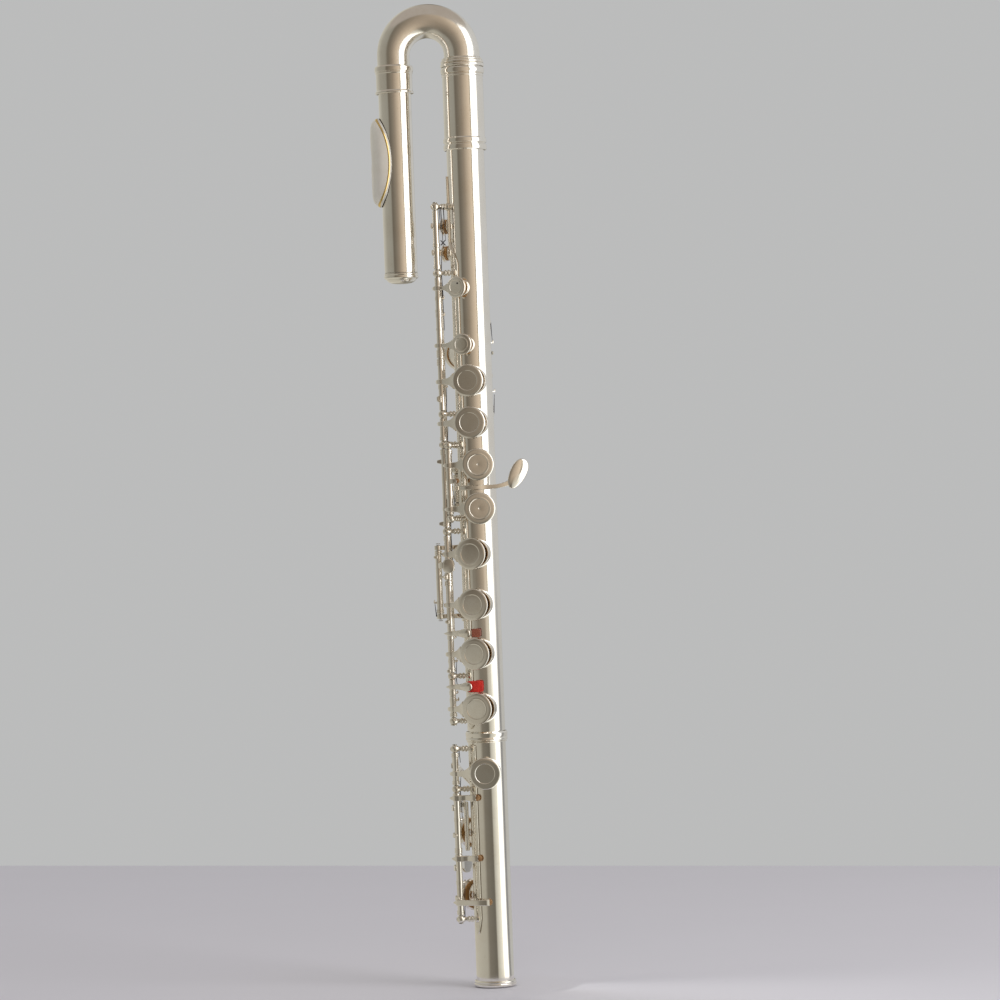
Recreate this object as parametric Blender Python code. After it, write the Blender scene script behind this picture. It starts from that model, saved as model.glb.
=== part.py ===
# Concert flute with a curved head, closed cups, an offset G and a foot to low C.
# The flute stands on its foot end: the origin is the centre of that end and +Z runs up the main tube.
# The head bends over towards -X. An angle round a tube is counted from -Y, positive towards -X.

import math

import bmesh
import bpy
from mathutils import Matrix, Vector

MM = 0.001

# Clearances
SEAT = 0.3 * MM  # between two pieces that rest on or slide in each other
END_PLAY = 0.4 * MM  # between two hinge tubes on one steel

# Tubes
TUBE_FACETS = 24
TUBE_RADIUS = 9.9 * MM
TUBE_WALL = 0.4 * MM
FOOT_LENGTH = 134.0 * MM
BODY_TOP = 446.0 * MM
TENON_LENGTH = 14.0 * MM
TENON_WALL = 0.4 * MM
FOOT_RING_HEIGHT = 3.2 * MM
FOOT_RING_THICKNESS = 0.9 * MM
SOCKET_RING_HEIGHT = 6.0 * MM
SOCKET_RING_THICKNESS = 0.8 * MM
BARREL_BOTTOM = 440.0 * MM
BARREL_TOP = 483.0 * MM
BARREL_WALL = 0.5 * MM
BARREL_RING_THICKNESS = 0.7 * MM
BARREL_RING_HEIGHT = 2.4 * MM

# Curved head
BEND_RADIUS = 18.0 * MM
BEND_HEIGHT = 490.2 * MM  # centre of the bend
BEND_START_RADIUS = 9.4 * MM  # outside of the crook where the bend starts
BEND_END_RADIUS = 8.5 * MM
CROOK_WALL = 0.45 * MM
CROOK_BOTTOM = 448.0 * MM
FERRULE_HEIGHT = 4.6 * MM
FERRULE_THICKNESS = 1.2 * MM
SLEEVE_BOTTOM = 470.4 * MM
SLEEVE_TOP = 485.2 * MM
SLEEVE_WALL = 0.6 * MM
SLEEVE_RING = 0.5 * MM
HEAD_RADIUS = 8.6 * MM
HEAD_WALL = 0.4 * MM
HEAD_TOP = 476.8 * MM
HEAD_BOTTOM = 376.4 * MM
CROOK_END = 477.3 * MM
CROWN_BOTTOM = HEAD_BOTTOM - 5.8 * MM
CROWN_RING = 0.35 * MM

# Lip plate and its embouchure hole
LIP_HEIGHT = 434.5 * MM
LIP_HALF_LENGTH = 23.5 * MM
LIP_HALF_WRAP = 12.4 * MM
LIP_CREST = 4.1 * MM
LIP_THICKNESS = 0.9 * MM
LIP_EDGE = 0.6 * MM
HOLE_HEIGHT = 436.0 * MM
HOLE_HALF_LENGTH = 6.0 * MM
HOLE_HALF_WIDTH = 5.0 * MM
RISER_WALL = 1.1 * MM

# Stopper
STOPPER_FACE = 17.0 * MM  # from the middle of the embouchure hole
CORK_LENGTH = 16.0 * MM
PLATE_THICKNESS = 1.2 * MM
STOPPER_ROD_RADIUS = 1.6 * MM

# Hinges
STEEL_RADIUS = 0.95 * MM
HINGE_BORE = 1.3 * MM
HINGE_RADIUS = 1.65 * MM
HINGE_FACETS = 8
ROD_DISTANCE = 17.9 * MM  # from the tube's axis to the main and G rods
MAIN_ROD_ANGLE = 70.5
G_ROD_ANGLE = 53.6
BACK_ROD_DISTANCE = 14.1 * MM
BACK_ROD_ANGLE = 129.2
THUMB_ROD_ANGLE = 215.0
SIDE_ROD = Vector((-21.8 * MM, -4.2 * MM, 0))
POST_BALL = 2.2 * MM
POST_STEM = 1.15 * MM
POST_FOOT = 1.9 * MM
POST_CLEAR = 2.3 * MM  # from a post's middle to the end of a hinge tube
RIB_THICKNESS = 0.7 * MM
RIB_ANGLES = (36.0, 64.0)  # the straps of the main and foot ribs
POST_FOOT_ANGLE = 52.0  # where the main posts stand on their straps
TOP_RIB_ANGLES = (74.0, 88.0)  # the main strap beside the trill keys
TOP_POST_FOOT_ANGLE = 78.0
NOTCH = 0.35 * MM  # from a chimney to the edge of a strap

# Cups, pads and tone holes
BIG = {
    "cup": 8.4 * MM,
    "hole": 6.8 * MM,
    "rim": 12.0 * MM,
    "facets": 14,
}
SMALL = {
    "cup": 5.0 * MM,
    "hole": 3.3 * MM,
    "rim": 11.6 * MM,
    "facets": 12,
}
TRILL = {
    "cup": 4.6 * MM,
    "hole": 3.1 * MM,
    "rim": 11.0 * MM,
    "facets": 12,
}
CUP_WALL = 0.6 * MM
CUP_DEPTH = 2.6 * MM
CUP_LIFT = 0.5 * MM  # from the rim of the tone hole to the rim of the closed cup, past the pad's gap
PAD_THICKNESS = 2.0 * MM
CHIMNEY_WALL = 0.5 * MM
CHIMNEY_FACETS = 12

STACK_ANGLES = {"b_flat": 6.0, "a": 5.0, "f_sharp": 13.5, "f": 12.5, "e": 13.0, "d": 12.0}
G_ANGLE = -6.0
G_SHARP_ANGLE = 182.0
THUMB_ANGLE = 148.0
TRILL_ANGLE = 111.0
C_SHARP_ANGLE = 25.0
C_ANGLE = 16.5
FOOT_D_SHARP_ANGLE = 5.7
FOOT_BACK_ANGLE = 150.0
CUP_OPEN = 9.0  # degrees that an open key stands off its hole
THUMB_OPEN = 10.0

# Heights of the tone holes
HOLE_Z = {
    "d_sharp_trill": 400.0 * MM,
    "d_trill": 386.0 * MM,
    "c_sharp": 367.0 * MM,
    "c": 337.0 * MM,
    "b_flat": 318.0 * MM,
    "a": 296.0 * MM,
    "g_upper": 274.0 * MM,
    "g_lower": 251.0 * MM,
    "f_sharp": 227.5 * MM,
    "f": 200.9 * MM,
    "e": 175.1 * MM,
    "d": 146.4 * MM,
    "thumb": 333.0 * MM,
    "g_sharp": 262.0 * MM,
    "foot_d_sharp": 112.4 * MM,
    "foot_c_sharp": 80.0 * MM,
    "foot_c": 47.0 * MM,
}
TRILL_TOUCH_Z = {"d_trill": 186.0 * MM, "d_sharp_trill": 158.0 * MM}

# Posts, by the rod that they carry
MAIN_POSTS = [FOOT_LENGTH + 6.0 * MM]
MAIN_POSTS += [z * MM for z in (163.6, 239.5, 285.0, 301.0, 375.0, 410.0)]
G_POSTS = [z * MM for z in (246.2, 284.5)]
BACK_POSTS = [z * MM for z in (252.5, 271.5)]
THUMB_POSTS = [z * MM for z in (300.5, 321.0, 349.5)]
SIDE_POSTS = [z * MM for z in (195.0, 231.0)]
FOOT_POSTS = [36.0 * MM, 104.3 * MM, FOOT_LENGTH - 8.6 * MM]


def outward(angle):
    turn = math.radians(angle)
    return Vector((-math.sin(turn), -math.cos(turn), 0))


def forward(angle):
    """The direction along the tube's skin, square to outward, that lowers the angle."""
    turn = math.radians(angle)
    return Vector((math.cos(turn), -math.sin(turn), 0))


def around(angle, distance, height=0.0):
    return outward(angle) * distance + Vector((0, 0, height))


MAIN_ROD = around(MAIN_ROD_ANGLE, ROD_DISTANCE)
G_ROD = around(G_ROD_ANGLE, ROD_DISTANCE)
BACK_ROD = around(BACK_ROD_ANGLE, BACK_ROD_DISTANCE)
THUMB_ROD = around(THUMB_ROD_ANGLE, BACK_ROD_DISTANCE)
HEAD_AXIS = Vector((-2 * BEND_RADIUS, 0, 0))

for item in list(bpy.data.objects):
    bpy.data.objects.remove(item)


def finish(name, colour, metallic, roughness):
    material = bpy.data.materials.new(name)
    material.use_nodes = True
    shader = material.node_tree.nodes["Principled BSDF"]
    shader.inputs["Base Color"].default_value = (*colour, 1)
    shader.inputs["Metallic"].default_value = metallic
    shader.inputs["Roughness"].default_value = roughness
    return material


SILVER = finish("silver_plate", (0.80, 0.77, 0.72), 1.0, 0.16)
KEY_SILVER = finish("key_plate", (0.82, 0.78, 0.73), 1.0, 0.12)
STEEL = finish("rod_steel", (0.55, 0.55, 0.56), 1.0, 0.25)
PAD_SKIN = finish("pad_skin", (0.62, 0.38, 0.14), 0.0, 0.55)
FELT = finish("red_felt", (0.55, 0.04, 0.03), 0.0, 0.95)
CORK = finish("cork", (0.52, 0.34, 0.20), 0.0, 0.9)


def closed_mesh(rings, close_rows=False, caps=True):
    """A closed body through rings of equal count. close_rows joins the last ring to the first."""
    shape = bmesh.new()
    loops = [[shape.verts.new(point) for point in ring] for ring in rings]
    pairs = list(zip(loops, loops[1:]))
    if close_rows:
        pairs.append((loops[-1], loops[0]))
    for low, high in pairs:
        count = len(low)
        for i in range(count):
            j = (i + 1) % count
            shape.faces.new((low[i], low[j], high[j], high[i]))
    if caps and not close_rows:
        shape.faces.new(loops[0][::-1])
        shape.faces.new(loops[-1])
    bmesh.ops.recalc_face_normals(shape, faces=shape.faces)
    mesh = bpy.data.meshes.new("shape")
    shape.to_mesh(mesh)
    shape.free()
    return mesh


def turned(profile, facets, place=Matrix.Identity(4)):
    """A turned body. profile lists (radius, height) up the outside and back down the inside."""
    shape = bmesh.new()
    columns = []
    for radius, height in profile:
        if radius == 0:
            columns.append([shape.verts.new(place @ Vector((0, 0, height)))])
            continue
        steps = [2 * math.pi * i / facets for i in range(facets)]
        ring = [place @ Vector((radius * math.cos(t), radius * math.sin(t), height)) for t in steps]
        columns.append([shape.verts.new(point) for point in ring])
    pairs = list(zip(columns, columns[1:]))
    if profile[0][0] > 0 or profile[-1][0] > 0:
        pairs.append((columns[-1], columns[0]))
    for low, high in pairs:
        for i in range(facets):
            j = (i + 1) % facets
            corners = [low[i % len(low)], low[j % len(low)], high[j % len(high)], high[i % len(high)]]
            corners = list(dict.fromkeys(corners))
            if len(corners) > 2:
                shape.faces.new(corners)
    bmesh.ops.recalc_face_normals(shape, faces=shape.faces)
    mesh = bpy.data.meshes.new("turned")
    shape.to_mesh(mesh)
    shape.free()
    return mesh


def at(point):
    return Matrix.Translation(point)


def rod(point, radius, bottom, top, facets=HINGE_FACETS):
    return turned([(0, bottom), (radius, bottom), (radius, top), (0, top)], facets, at(point))


def pipe(outer, inner, bottom, top, facets, point=Vector()):
    return turned([(outer, bottom), (outer, top), (inner, top), (inner, bottom)], facets, at(point))


def facing(angle, height):
    """Carries a turned shape's axis onto the outward direction at an angle and height."""
    normal = outward(angle)
    across = Vector((0, 0, 1))
    along = normal.cross(across)
    rows = Matrix((across, along, normal)).transposed().to_4x4()
    return at(Vector((0, 0, height))) @ rows


def bar(sections):
    """A lofted bar. Each section is (centre, half thickness vector, half width vector)."""
    rings = []
    for centre, thick, wide in sections:
        rings.append([centre + thick + wide, centre - thick + wide, centre - thick - wide, centre + thick - wide])
    return closed_mesh(rings)


def arm(points, widths, thickness):
    """A bar through points that lie in one level plane, with its width along Z."""
    sections = []
    for i, point in enumerate(points):
        before = points[max(i - 1, 0)]
        after = points[min(i + 1, len(points) - 1)]
        run = (after - before).xy.normalized()
        side = Vector((-run.y, run.x, 0))
        sections.append((point, side * thickness / 2, Vector((0, 0, widths[i] / 2))))
    return bar(sections)


def oval(centre, long_half, short_half, normal, thickness, facets=14, taper=0.0):
    """A plate with an oval or, with taper, a teardrop outline."""
    rings = []
    for side in (-0.5, 0.5):
        ring = []
        for i in range(facets):
            turn = 2 * math.pi * i / facets
            narrow = 1 - taper * (0.5 - 0.5 * math.cos(turn))
            along = long_half * math.cos(turn)
            across = short_half * math.sin(turn) * narrow
            ring.append(centre + along + across + normal * thickness * side)
        rings.append(ring)
    return closed_mesh(rings)


def add(name, mesh, material, hinge=None):
    item = bpy.data.objects.new(name, mesh)
    bpy.context.scene.collection.objects.link(item)
    mesh.materials.clear()
    mesh.materials.append(material)
    mesh.shade_smooth()
    mesh.set_sharp_from_angle(angle=math.radians(35))
    if hinge:
        mesh.transform(at(-hinge.location))
        item.parent = hinge
    return item


def joined(solids, cuts=()):
    """One mesh from overlapping solids, less the cuts."""
    base = bpy.data.objects.new("base", solids[0])
    bpy.context.scene.collection.objects.link(base)
    helpers = []
    groups = []
    for operation, meshes in (("UNION", solids[1:]), ("DIFFERENCE", cuts)):
        if not meshes:
            continue
        group = bpy.data.collections.new(operation)
        bpy.context.scene.collection.children.link(group)
        groups.append(group)
        for mesh in meshes:
            helper = bpy.data.objects.new("helper", mesh)
            group.objects.link(helper)
            helpers.append(helper)
        boolean = base.modifiers.new(operation, "BOOLEAN")
        boolean.operation = operation
        boolean.operand_type = "COLLECTION"
        boolean.collection = group
        boolean.solver = "EXACT"
    bpy.context.view_layer.update()
    graph = bpy.context.evaluated_depsgraph_get()
    mesh = bpy.data.meshes.new_from_object(base.evaluated_get(graph), depsgraph=graph)
    for helper in helpers + [base]:
        bpy.data.objects.remove(helper)
    for group in groups:
        bpy.data.collections.remove(group)
    return mesh


def hinge_at(name, point, rest_turn):
    """An empty on a rod's axis. rest_turn is how far its key stands from closed, in degrees about +Z."""
    hinge = bpy.data.objects.new(name, None)
    bpy.context.scene.collection.objects.link(hinge)
    hinge.location = point
    hinge.rotation_euler = (0, 0, math.radians(rest_turn))
    return hinge


def cup_shell(size, angle, height):
    """A key cup over its tone hole, closed: rolled edge, raised border and a sunk middle disc."""
    wide = size["cup"]
    rim = size["rim"] + SEAT + CUP_LIFT
    top = rim + CUP_DEPTH
    inner = wide - CUP_WALL
    ceiling = size["rim"] + SEAT + PAD_THICKNESS + SEAT
    profile = [
        (0, top - 0.2 * MM),
        (0.66 * wide, top - 0.2 * MM),
        (0.74 * wide, top + 0.1 * MM),
        (wide, top - 0.6 * MM),
        (wide, rim),
        (inner, rim),
        (inner, ceiling),
        (0, ceiling),
    ]
    return turned(profile, size["facets"], facing(angle, height))


def pad_disc(size, angle, height):
    wide = size["cup"] - CUP_WALL - SEAT
    low = size["rim"] + SEAT
    high = low + PAD_THICKNESS
    profile = [(0, low), (wide, low), (wide, high), (0, high)]
    return turned(profile, size["facets"], facing(angle, height))


def outside_cup(solid, size, angle, height):
    """The part of an arm outside a closed cup, down to the middle of the cup's wall."""
    inner = size["cup"] - CUP_WALL / 2
    ceiling = size["rim"] + SEAT + PAD_THICKNESS + SEAT + CUP_WALL / 2
    low = size["rim"] - MM
    room = turned([(0, low), (inner, low), (inner, ceiling), (0, ceiling)], size["facets"], facing(angle, height))
    return joined([solid], [room])


def near_rim(size, angle, height, rod_axis, inset=1.0 * MM):
    """Where an arm meets the side of a closed cup that faces its rod."""
    level = size["rim"] + SEAT + CUP_LIFT + CUP_DEPTH / 2
    side = forward(angle)
    if rod_axis.dot(side) < 0:
        side = -side
    return outward(angle) * level + side * (size["cup"] - inset) + Vector((0, 0, height))


def cup_arm(size, angle, height, rod_axis):
    """The arm from a hinge tube to its cup, opening out into a web where it meets the rim."""
    start = rod_axis + Vector((0, 0, height))
    end = near_rim(size, angle, height, rod_axis)
    middle = start.lerp(end, 0.55)
    narrow = 0.36 * size["cup"]
    web = arm([start, middle, end], [narrow, narrow, 0.95 * size["cup"]], 1.5 * MM)
    return outside_cup(web, size, angle, height)


def spring_hook(rod_axis, height, direction, reach=3.0 * MM):
    """The little pointed lug that the key's needle spring bears on."""
    start = rod_axis + Vector((0, 0, height))
    end = start + direction * reach
    return arm([start, end], [2.2 * MM, 0.7 * MM], 1.0 * MM)


def hinge_solids(rod_axis, bottom, top):
    """The outside of a hinge tube and the bore to cut along it."""
    return rod(rod_axis, HINGE_RADIUS, bottom, top), rod(rod_axis, HINGE_BORE, bottom - MM, top + MM)


def key(name, hinge, spans, solids):
    """A key made of hinge tubes over spans (bottom, top) on its hinge's axis and the other solids."""
    tubes = [hinge_solids(hinge.location, low, high) for low, high in spans]
    outsides = [outside for outside, bore in tubes]
    bores = [bore for outside, bore in tubes]
    return add(name, joined(outsides + solids, bores), KEY_SILVER, hinge)


def cup_key(name, rod_axis, rest_turn, span, cups):
    """A key that is a hinge tube with one or more cups. cups lists (node of the pad, size, angle, height)."""
    hinge = hinge_at(name + "_hinge", rod_axis, rest_turn)
    solids = []
    for pad_name, size, angle, height in cups:
        solids.append(cup_arm(size, angle, height, rod_axis))
        solids.append(cup_shell(size, angle, height))
        solids.append(spring_hook(rod_axis, height, outward(90)))
        add(pad_name, pad_disc(size, angle, height), PAD_SKIN, hinge)
    return key(name, hinge, [span], solids)


def chimney(size, angle, height):
    """The outside of a tone hole's chimney and the bore to cut through it and the tube's wall."""
    place = facing(angle, height)
    outer = size["hole"] + CHIMNEY_WALL
    facets = CHIMNEY_FACETS
    outside = turned([(0, 0), (outer, 0), (outer, size["rim"]), (0, size["rim"])], facets, place)
    bore = turned([(0, 0), (size["hole"], 0), (size["hole"], size["rim"] + MM), (0, size["rim"] + MM)], facets, place)
    return outside, bore


def tube_with_holes(name, outside, inside, holes):
    """A tube between two turned profiles, with a chimney at each hole (size, angle, height)."""
    pairs = [chimney(*hole) for hole in holes]
    outsides = [pair[0] for pair in pairs]
    bores = [pair[1] for pair in pairs]
    return add(name, joined([outside] + outsides, [inside] + bores), SILVER)


def body_tube():
    """The main tube with its tenon, and thirteen chimneys."""
    bottom = FOOT_LENGTH + END_PLAY
    tenon_end = FOOT_LENGTH - TENON_LENGTH
    tenon_radius = TUBE_RADIUS - TUBE_WALL - SEAT
    outer = [
        (0, tenon_end),
        (tenon_radius, tenon_end),
        (tenon_radius, bottom),
        (TUBE_RADIUS, bottom),
        (TUBE_RADIUS, BODY_TOP),
        (0, BODY_TOP),
    ]
    bore = tenon_radius - TENON_WALL
    inner = [
        (0, tenon_end - MM),
        (bore, tenon_end - MM),
        (bore, bottom + MM),
        (TUBE_RADIUS - TUBE_WALL, bottom + MM),
        (TUBE_RADIUS - TUBE_WALL, BODY_TOP + MM),
        (0, BODY_TOP + MM),
    ]
    holes = [
        (TRILL, TRILL_ANGLE, HOLE_Z["d_sharp_trill"]),
        (TRILL, TRILL_ANGLE, HOLE_Z["d_trill"]),
        (SMALL, C_SHARP_ANGLE, HOLE_Z["c_sharp"]),
        (SMALL, C_ANGLE, HOLE_Z["c"]),
        (BIG, THUMB_ANGLE, HOLE_Z["thumb"]),
        (BIG, G_SHARP_ANGLE, HOLE_Z["g_sharp"]),
        (BIG, G_ANGLE, HOLE_Z["g_upper"]),
        (BIG, G_ANGLE, HOLE_Z["g_lower"]),
    ]
    holes += [(BIG, angle, HOLE_Z[note]) for note, angle in STACK_ANGLES.items()]
    tube_with_holes("body_tube", turned(outer, TUBE_FACETS), turned(inner, TUBE_FACETS), holes)


def barrel():
    """The socket soldered on the top of the main tube, with a double ring below and one ring above."""
    inside = TUBE_RADIUS + SEAT
    outside = inside + BARREL_WALL
    ringed = outside + BARREL_RING_THICKNESS
    step = BARREL_RING_HEIGHT
    low = BARREL_BOTTOM
    profile = [
        (ringed, low),
        (ringed, low + step),
        (outside, low + 1.15 * step),
        (ringed, low + 1.3 * step),
        (ringed, low + 2.3 * step),
        (outside, low + 2.5 * step),
        (outside, BARREL_TOP - 1.7 * step),
        (ringed, BARREL_TOP - 1.6 * step),
        (ringed, BARREL_TOP),
        (inside, BARREL_TOP),
        (inside, low),
    ]
    add("barrel", turned(profile, 24), SILVER)


def strap_through(stations):
    """A rib strap on the tube. Each station is (height, low angle, high angle)."""
    low_r = TUBE_RADIUS + SEAT
    high_r = low_r + RIB_THICKNESS
    rings = []
    steps = [stations[0]]
    for before, after in zip(stations, stations[1:]):
        shift = max(abs(after[1] - before[1]), abs(after[2] - before[2]))
        parts = math.ceil(shift / 11)
        for k in range(1, parts):
            steps.append([a + (b - a) * k / parts for a, b in zip(before, after)])
        steps.append(after)
    for height, low, high in steps:
        turns = [low + (high - low) * share for share in (0, 0.34, 0.66, 1)]
        ring = [around(turn, high_r, height) for turn in turns]
        ring += [around(turn, low_r, height) for turn in reversed(turns)]
        rings.append(ring)
    return closed_mesh(rings)


def tip(angles, height, share=0.25):
    middle = sum(angles) / 2
    half = (angles[1] - angles[0]) / 2 * share
    return height, middle - half, middle + half


def strap(angles, bottom, top, tip_bottom, tip_top):
    """A straight rib strap between two angles, drawn in to a narrow tip at each end."""
    return strap_through([
        tip(angles, bottom - tip_bottom),
        (bottom, *angles),
        (top, *angles),
        tip(angles, top + tip_top),
    ])


def notch(size, angle, height):
    """Room for a chimney in a strap."""
    wide = size["hole"] + CHIMNEY_WALL + NOTCH
    low = 0.3 * TUBE_RADIUS
    profile = [(0, low), (wide, low), (wide, size["rim"]), (0, size["rim"])]
    return turned(profile, 16, facing(angle, height))


def post(foot_angle, rod_axis, height):
    """A turned post that stands on a strap, with a ball on the rod's axis."""
    start = around(foot_angle, TUBE_RADIUS + SEAT + RIB_THICKNESS / 2, height)
    reach = rod_axis + Vector((0, 0, height)) - start
    distance = reach.length
    run = reach.normalized()
    across = Vector((0, 0, 1))
    place = at(start) @ Matrix((across, run.cross(across), run)).transposed().to_4x4()
    neck = distance - 0.88 * POST_BALL
    leaning = run.dot(outward(foot_angle)) < 0.99
    low = -1.6 * MM if leaning else 0
    profile = [(0, low), (POST_FOOT, low)]
    if leaning:
        profile.append((POST_FOOT, 0.3 * MM))
    if neck > 1.9 * MM:
        profile.append((POST_STEM, 1.4 * MM))
    profile.append((0.47 * POST_BALL, neck))
    for turn in (-20, 40):
        lift = math.radians(turn)
        profile.append((POST_BALL * math.cos(lift), distance + POST_BALL * math.sin(lift)))
    profile.append((0, distance + POST_BALL))
    solid = turned(profile, 8, place)
    if not leaning:
        return solid
    wall = TUBE_RADIUS + SEAT + 0.4 * RIB_THICKNESS
    return joined([solid], [rod(Vector(), wall, height - 4 * MM, height + 4 * MM, 48)])


def rod_bore(point, heights, reach=3.0 * MM):
    return [rod(point, HINGE_BORE, z - reach, z + reach) for z in heights]


def needle(rod_axis, height, length, offset):
    """A needle spring, driven into a post and running along the rod."""
    start = rod_axis + offset + Vector((0, 0, height))
    end = start + Vector((0, 0, length))
    thick = Vector((0.35 * MM, 0, 0))
    wide = Vector((0, 0.35 * MM, 0))
    return bar([(start, thick, wide), (end, thick * 0.5, wide * 0.5)])


def side_bracket(height):
    """A flat bracket from the strap to the side lever's rod, passing behind the main rod."""
    inner = around(79.5, TUBE_RADIUS + SEAT + 0.4 * MM, height)
    level = SIDE_ROD.y + 0.7 * MM
    bend = Vector((-13.5 * MM, level + 0.3 * MM, height))
    end = Vector((SIDE_ROD.x, level, height))
    plate = arm([inner, bend, end], [2.6 * MM, 2.2 * MM, 2.2 * MM], 0.9 * MM)
    eye = rod(SIDE_ROD, 1.9 * MM, height - 1.1 * MM, height + 1.1 * MM)
    tab = strap((RIB_ANGLES[1] - 6, 86.0), height - 2.4 * MM, height + 2.4 * MM, 0.8 * MM, 0.8 * MM)
    return [tab, plate, eye]


def main_rib():
    """The long strap with its posts, the G posts, the side lever's brackets and four needle springs."""
    turn_low = MAIN_POSTS[5] + 4.0 * MM
    turn_high = HOLE_Z["d_trill"] + 7.0 * MM
    top = MAIN_POSTS[6] + 5.0 * MM
    stations = [
        tip(RIB_ANGLES, MAIN_POSTS[0] - 4.5 * MM),
        (MAIN_POSTS[0] - 2.8 * MM, *RIB_ANGLES),
        (turn_low, *RIB_ANGLES),
        (turn_high, *TOP_RIB_ANGLES),
        (top, *TOP_RIB_ANGLES),
        tip(TOP_RIB_ANGLES, top + 11.0 * MM),
    ]
    solids = [strap_through(stations)]
    solids += [post(POST_FOOT_ANGLE, MAIN_ROD, z) for z in MAIN_POSTS[:-1]]
    solids.append(post(TOP_POST_FOOT_ANGLE, MAIN_ROD, MAIN_POSTS[6]))
    solids += [post(G_ROD_ANGLE, G_ROD, z) for z in G_POSTS]
    for z in SIDE_POSTS:
        solids += side_bracket(z)
    beside = Vector((2.5 * MM, 0.55 * MM, 0))
    solids.append(needle(MAIN_ROD, MAIN_POSTS[6], -9.5 * MM, beside))
    solids.append(needle(MAIN_ROD, MAIN_POSTS[5], 11.0 * MM, beside))
    solids.append(needle(MAIN_ROD, MAIN_POSTS[5], -30.0 * MM, beside))
    solids.append(needle(MAIN_ROD, MAIN_POSTS[2], -20.0 * MM, beside))
    bores = rod_bore(MAIN_ROD, MAIN_POSTS)
    bores += rod_bore(G_ROD, G_POSTS)
    bores += [rod(SIDE_ROD, HINGE_BORE, z - 2 * MM, z + 2 * MM) for z in SIDE_POSTS]
    bores += [notch(BIG, angle, HOLE_Z[note]) for note, angle in STACK_ANGLES.items()]
    bores += [notch(BIG, G_ANGLE, HOLE_Z[note]) for note in ("g_upper", "g_lower")]
    bores.append(notch(SMALL, C_SHARP_ANGLE, HOLE_Z["c_sharp"]))
    bores.append(notch(SMALL, C_ANGLE, HOLE_Z["c"]))
    add("main_rib", joined(solids, bores), SILVER)


def far_rib(name, angle, half_width, rod_axis, heights):
    """A short strap behind the tube, with its posts."""
    edge = 3.0 * MM
    solids = [strap((angle - half_width, angle + half_width), heights[0] - edge, heights[-1] + edge, MM, MM)]
    solids += [post(angle, rod_axis, z) for z in heights]
    add(name, joined(solids, rod_bore(rod_axis, heights)), SILVER)


def back_ribs():
    """The straps that carry the G sharp key and the thumb keys."""
    far_rib("back_rib", BACK_ROD_ANGLE, 8.0, BACK_ROD, BACK_POSTS)
    far_rib("thumb_rib", THUMB_ROD_ANGLE, 11.0, THUMB_ROD, THUMB_POSTS)


def steel(name, point, low_post, high_post):
    """A rod steel between two posts, with a slotted head outside the upper one."""
    low = low_post - 1.6 * MM
    high = high_post + 1.6 * MM
    profile = [(0, low), (STEEL_RADIUS, low), (STEEL_RADIUS, high), (0, high)]
    add(name, turned(profile, 8, at(point)), STEEL)


def steels():
    steel("trill_steel", MAIN_ROD, MAIN_POSTS[5] + 1.9 * MM, MAIN_POSTS[6])
    steel("upper_steel", MAIN_ROD, MAIN_POSTS[3] + 1.9 * MM, MAIN_POSTS[5] - 1.9 * MM)
    steel("lower_steel", MAIN_ROD, MAIN_POSTS[0], MAIN_POSTS[3] - 1.9 * MM)
    steel("g_steel", G_ROD, G_POSTS[0], G_POSTS[1])
    steel("back_steel", BACK_ROD, BACK_POSTS[0], BACK_POSTS[-1])
    steel("thumb_steel", THUMB_ROD, THUMB_POSTS[0], THUMB_POSTS[-1])
    steel("side_lever_steel", SIDE_ROD, SIDE_POSTS[0], SIDE_POSTS[1])


def between(low_post, high_post):
    return low_post + POST_CLEAR, high_post - POST_CLEAR


def trill_key(name, pad_name, felt_name, cup_height, touch_height, tube_span, touch_span, link, link_top):
    """A trill key: cup and hinge tube at the top, a long rod beside the main rod, a touch between lower cups."""
    hinge = hinge_at(name + "_hinge", MAIN_ROD, 0)
    start = MAIN_ROD + Vector((0, 0, cup_height))
    rim = near_rim(TRILL, TRILL_ANGLE, cup_height, MAIN_ROD, 0.9 * MM)
    web = arm([start, start.lerp(rim, 0.5), rim], [3.0 * MM, 2.6 * MM, 4.4 * MM], 1.3 * MM)
    solids = [
        outside_cup(web, TRILL, TRILL_ANGLE, cup_height),
        cup_shell(TRILL, TRILL_ANGLE, cup_height),
        rod(link, 0.8 * MM, touch_height - MM, link_top, 8),
    ]
    for height in (link_top - 1.2 * MM, touch_height):
        up = Vector((0, 0, height))
        solids.append(arm([MAIN_ROD + up, link + up], [2.0 * MM, 2.0 * MM], 1.2 * MM))
    front = around(9.0, 15.2 * MM, touch_height)
    base = MAIN_ROD + Vector((0, 0, touch_height))
    bend = around(38.0, 16.6 * MM, touch_height)
    solids.append(arm([base, bend, front], [3.0 * MM, 3.4 * MM, 5.2 * MM], 1.3 * MM))
    solids.append(spring_hook(MAIN_ROD, touch_height, outward(90)))
    add(pad_name, pad_disc(TRILL, TRILL_ANGLE, cup_height), PAD_SKIN, hinge)
    place = facing(14.0, touch_height)
    felt_top = 14.2 * MM
    felt = turned([(0, felt_top - 1.4 * MM), (2.3 * MM, felt_top - 1.4 * MM), (2.3 * MM, felt_top), (0, felt_top)], 12, place)
    add(felt_name, felt, FELT, hinge)
    return key(name, hinge, [tube_span, touch_span], solids)


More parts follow.
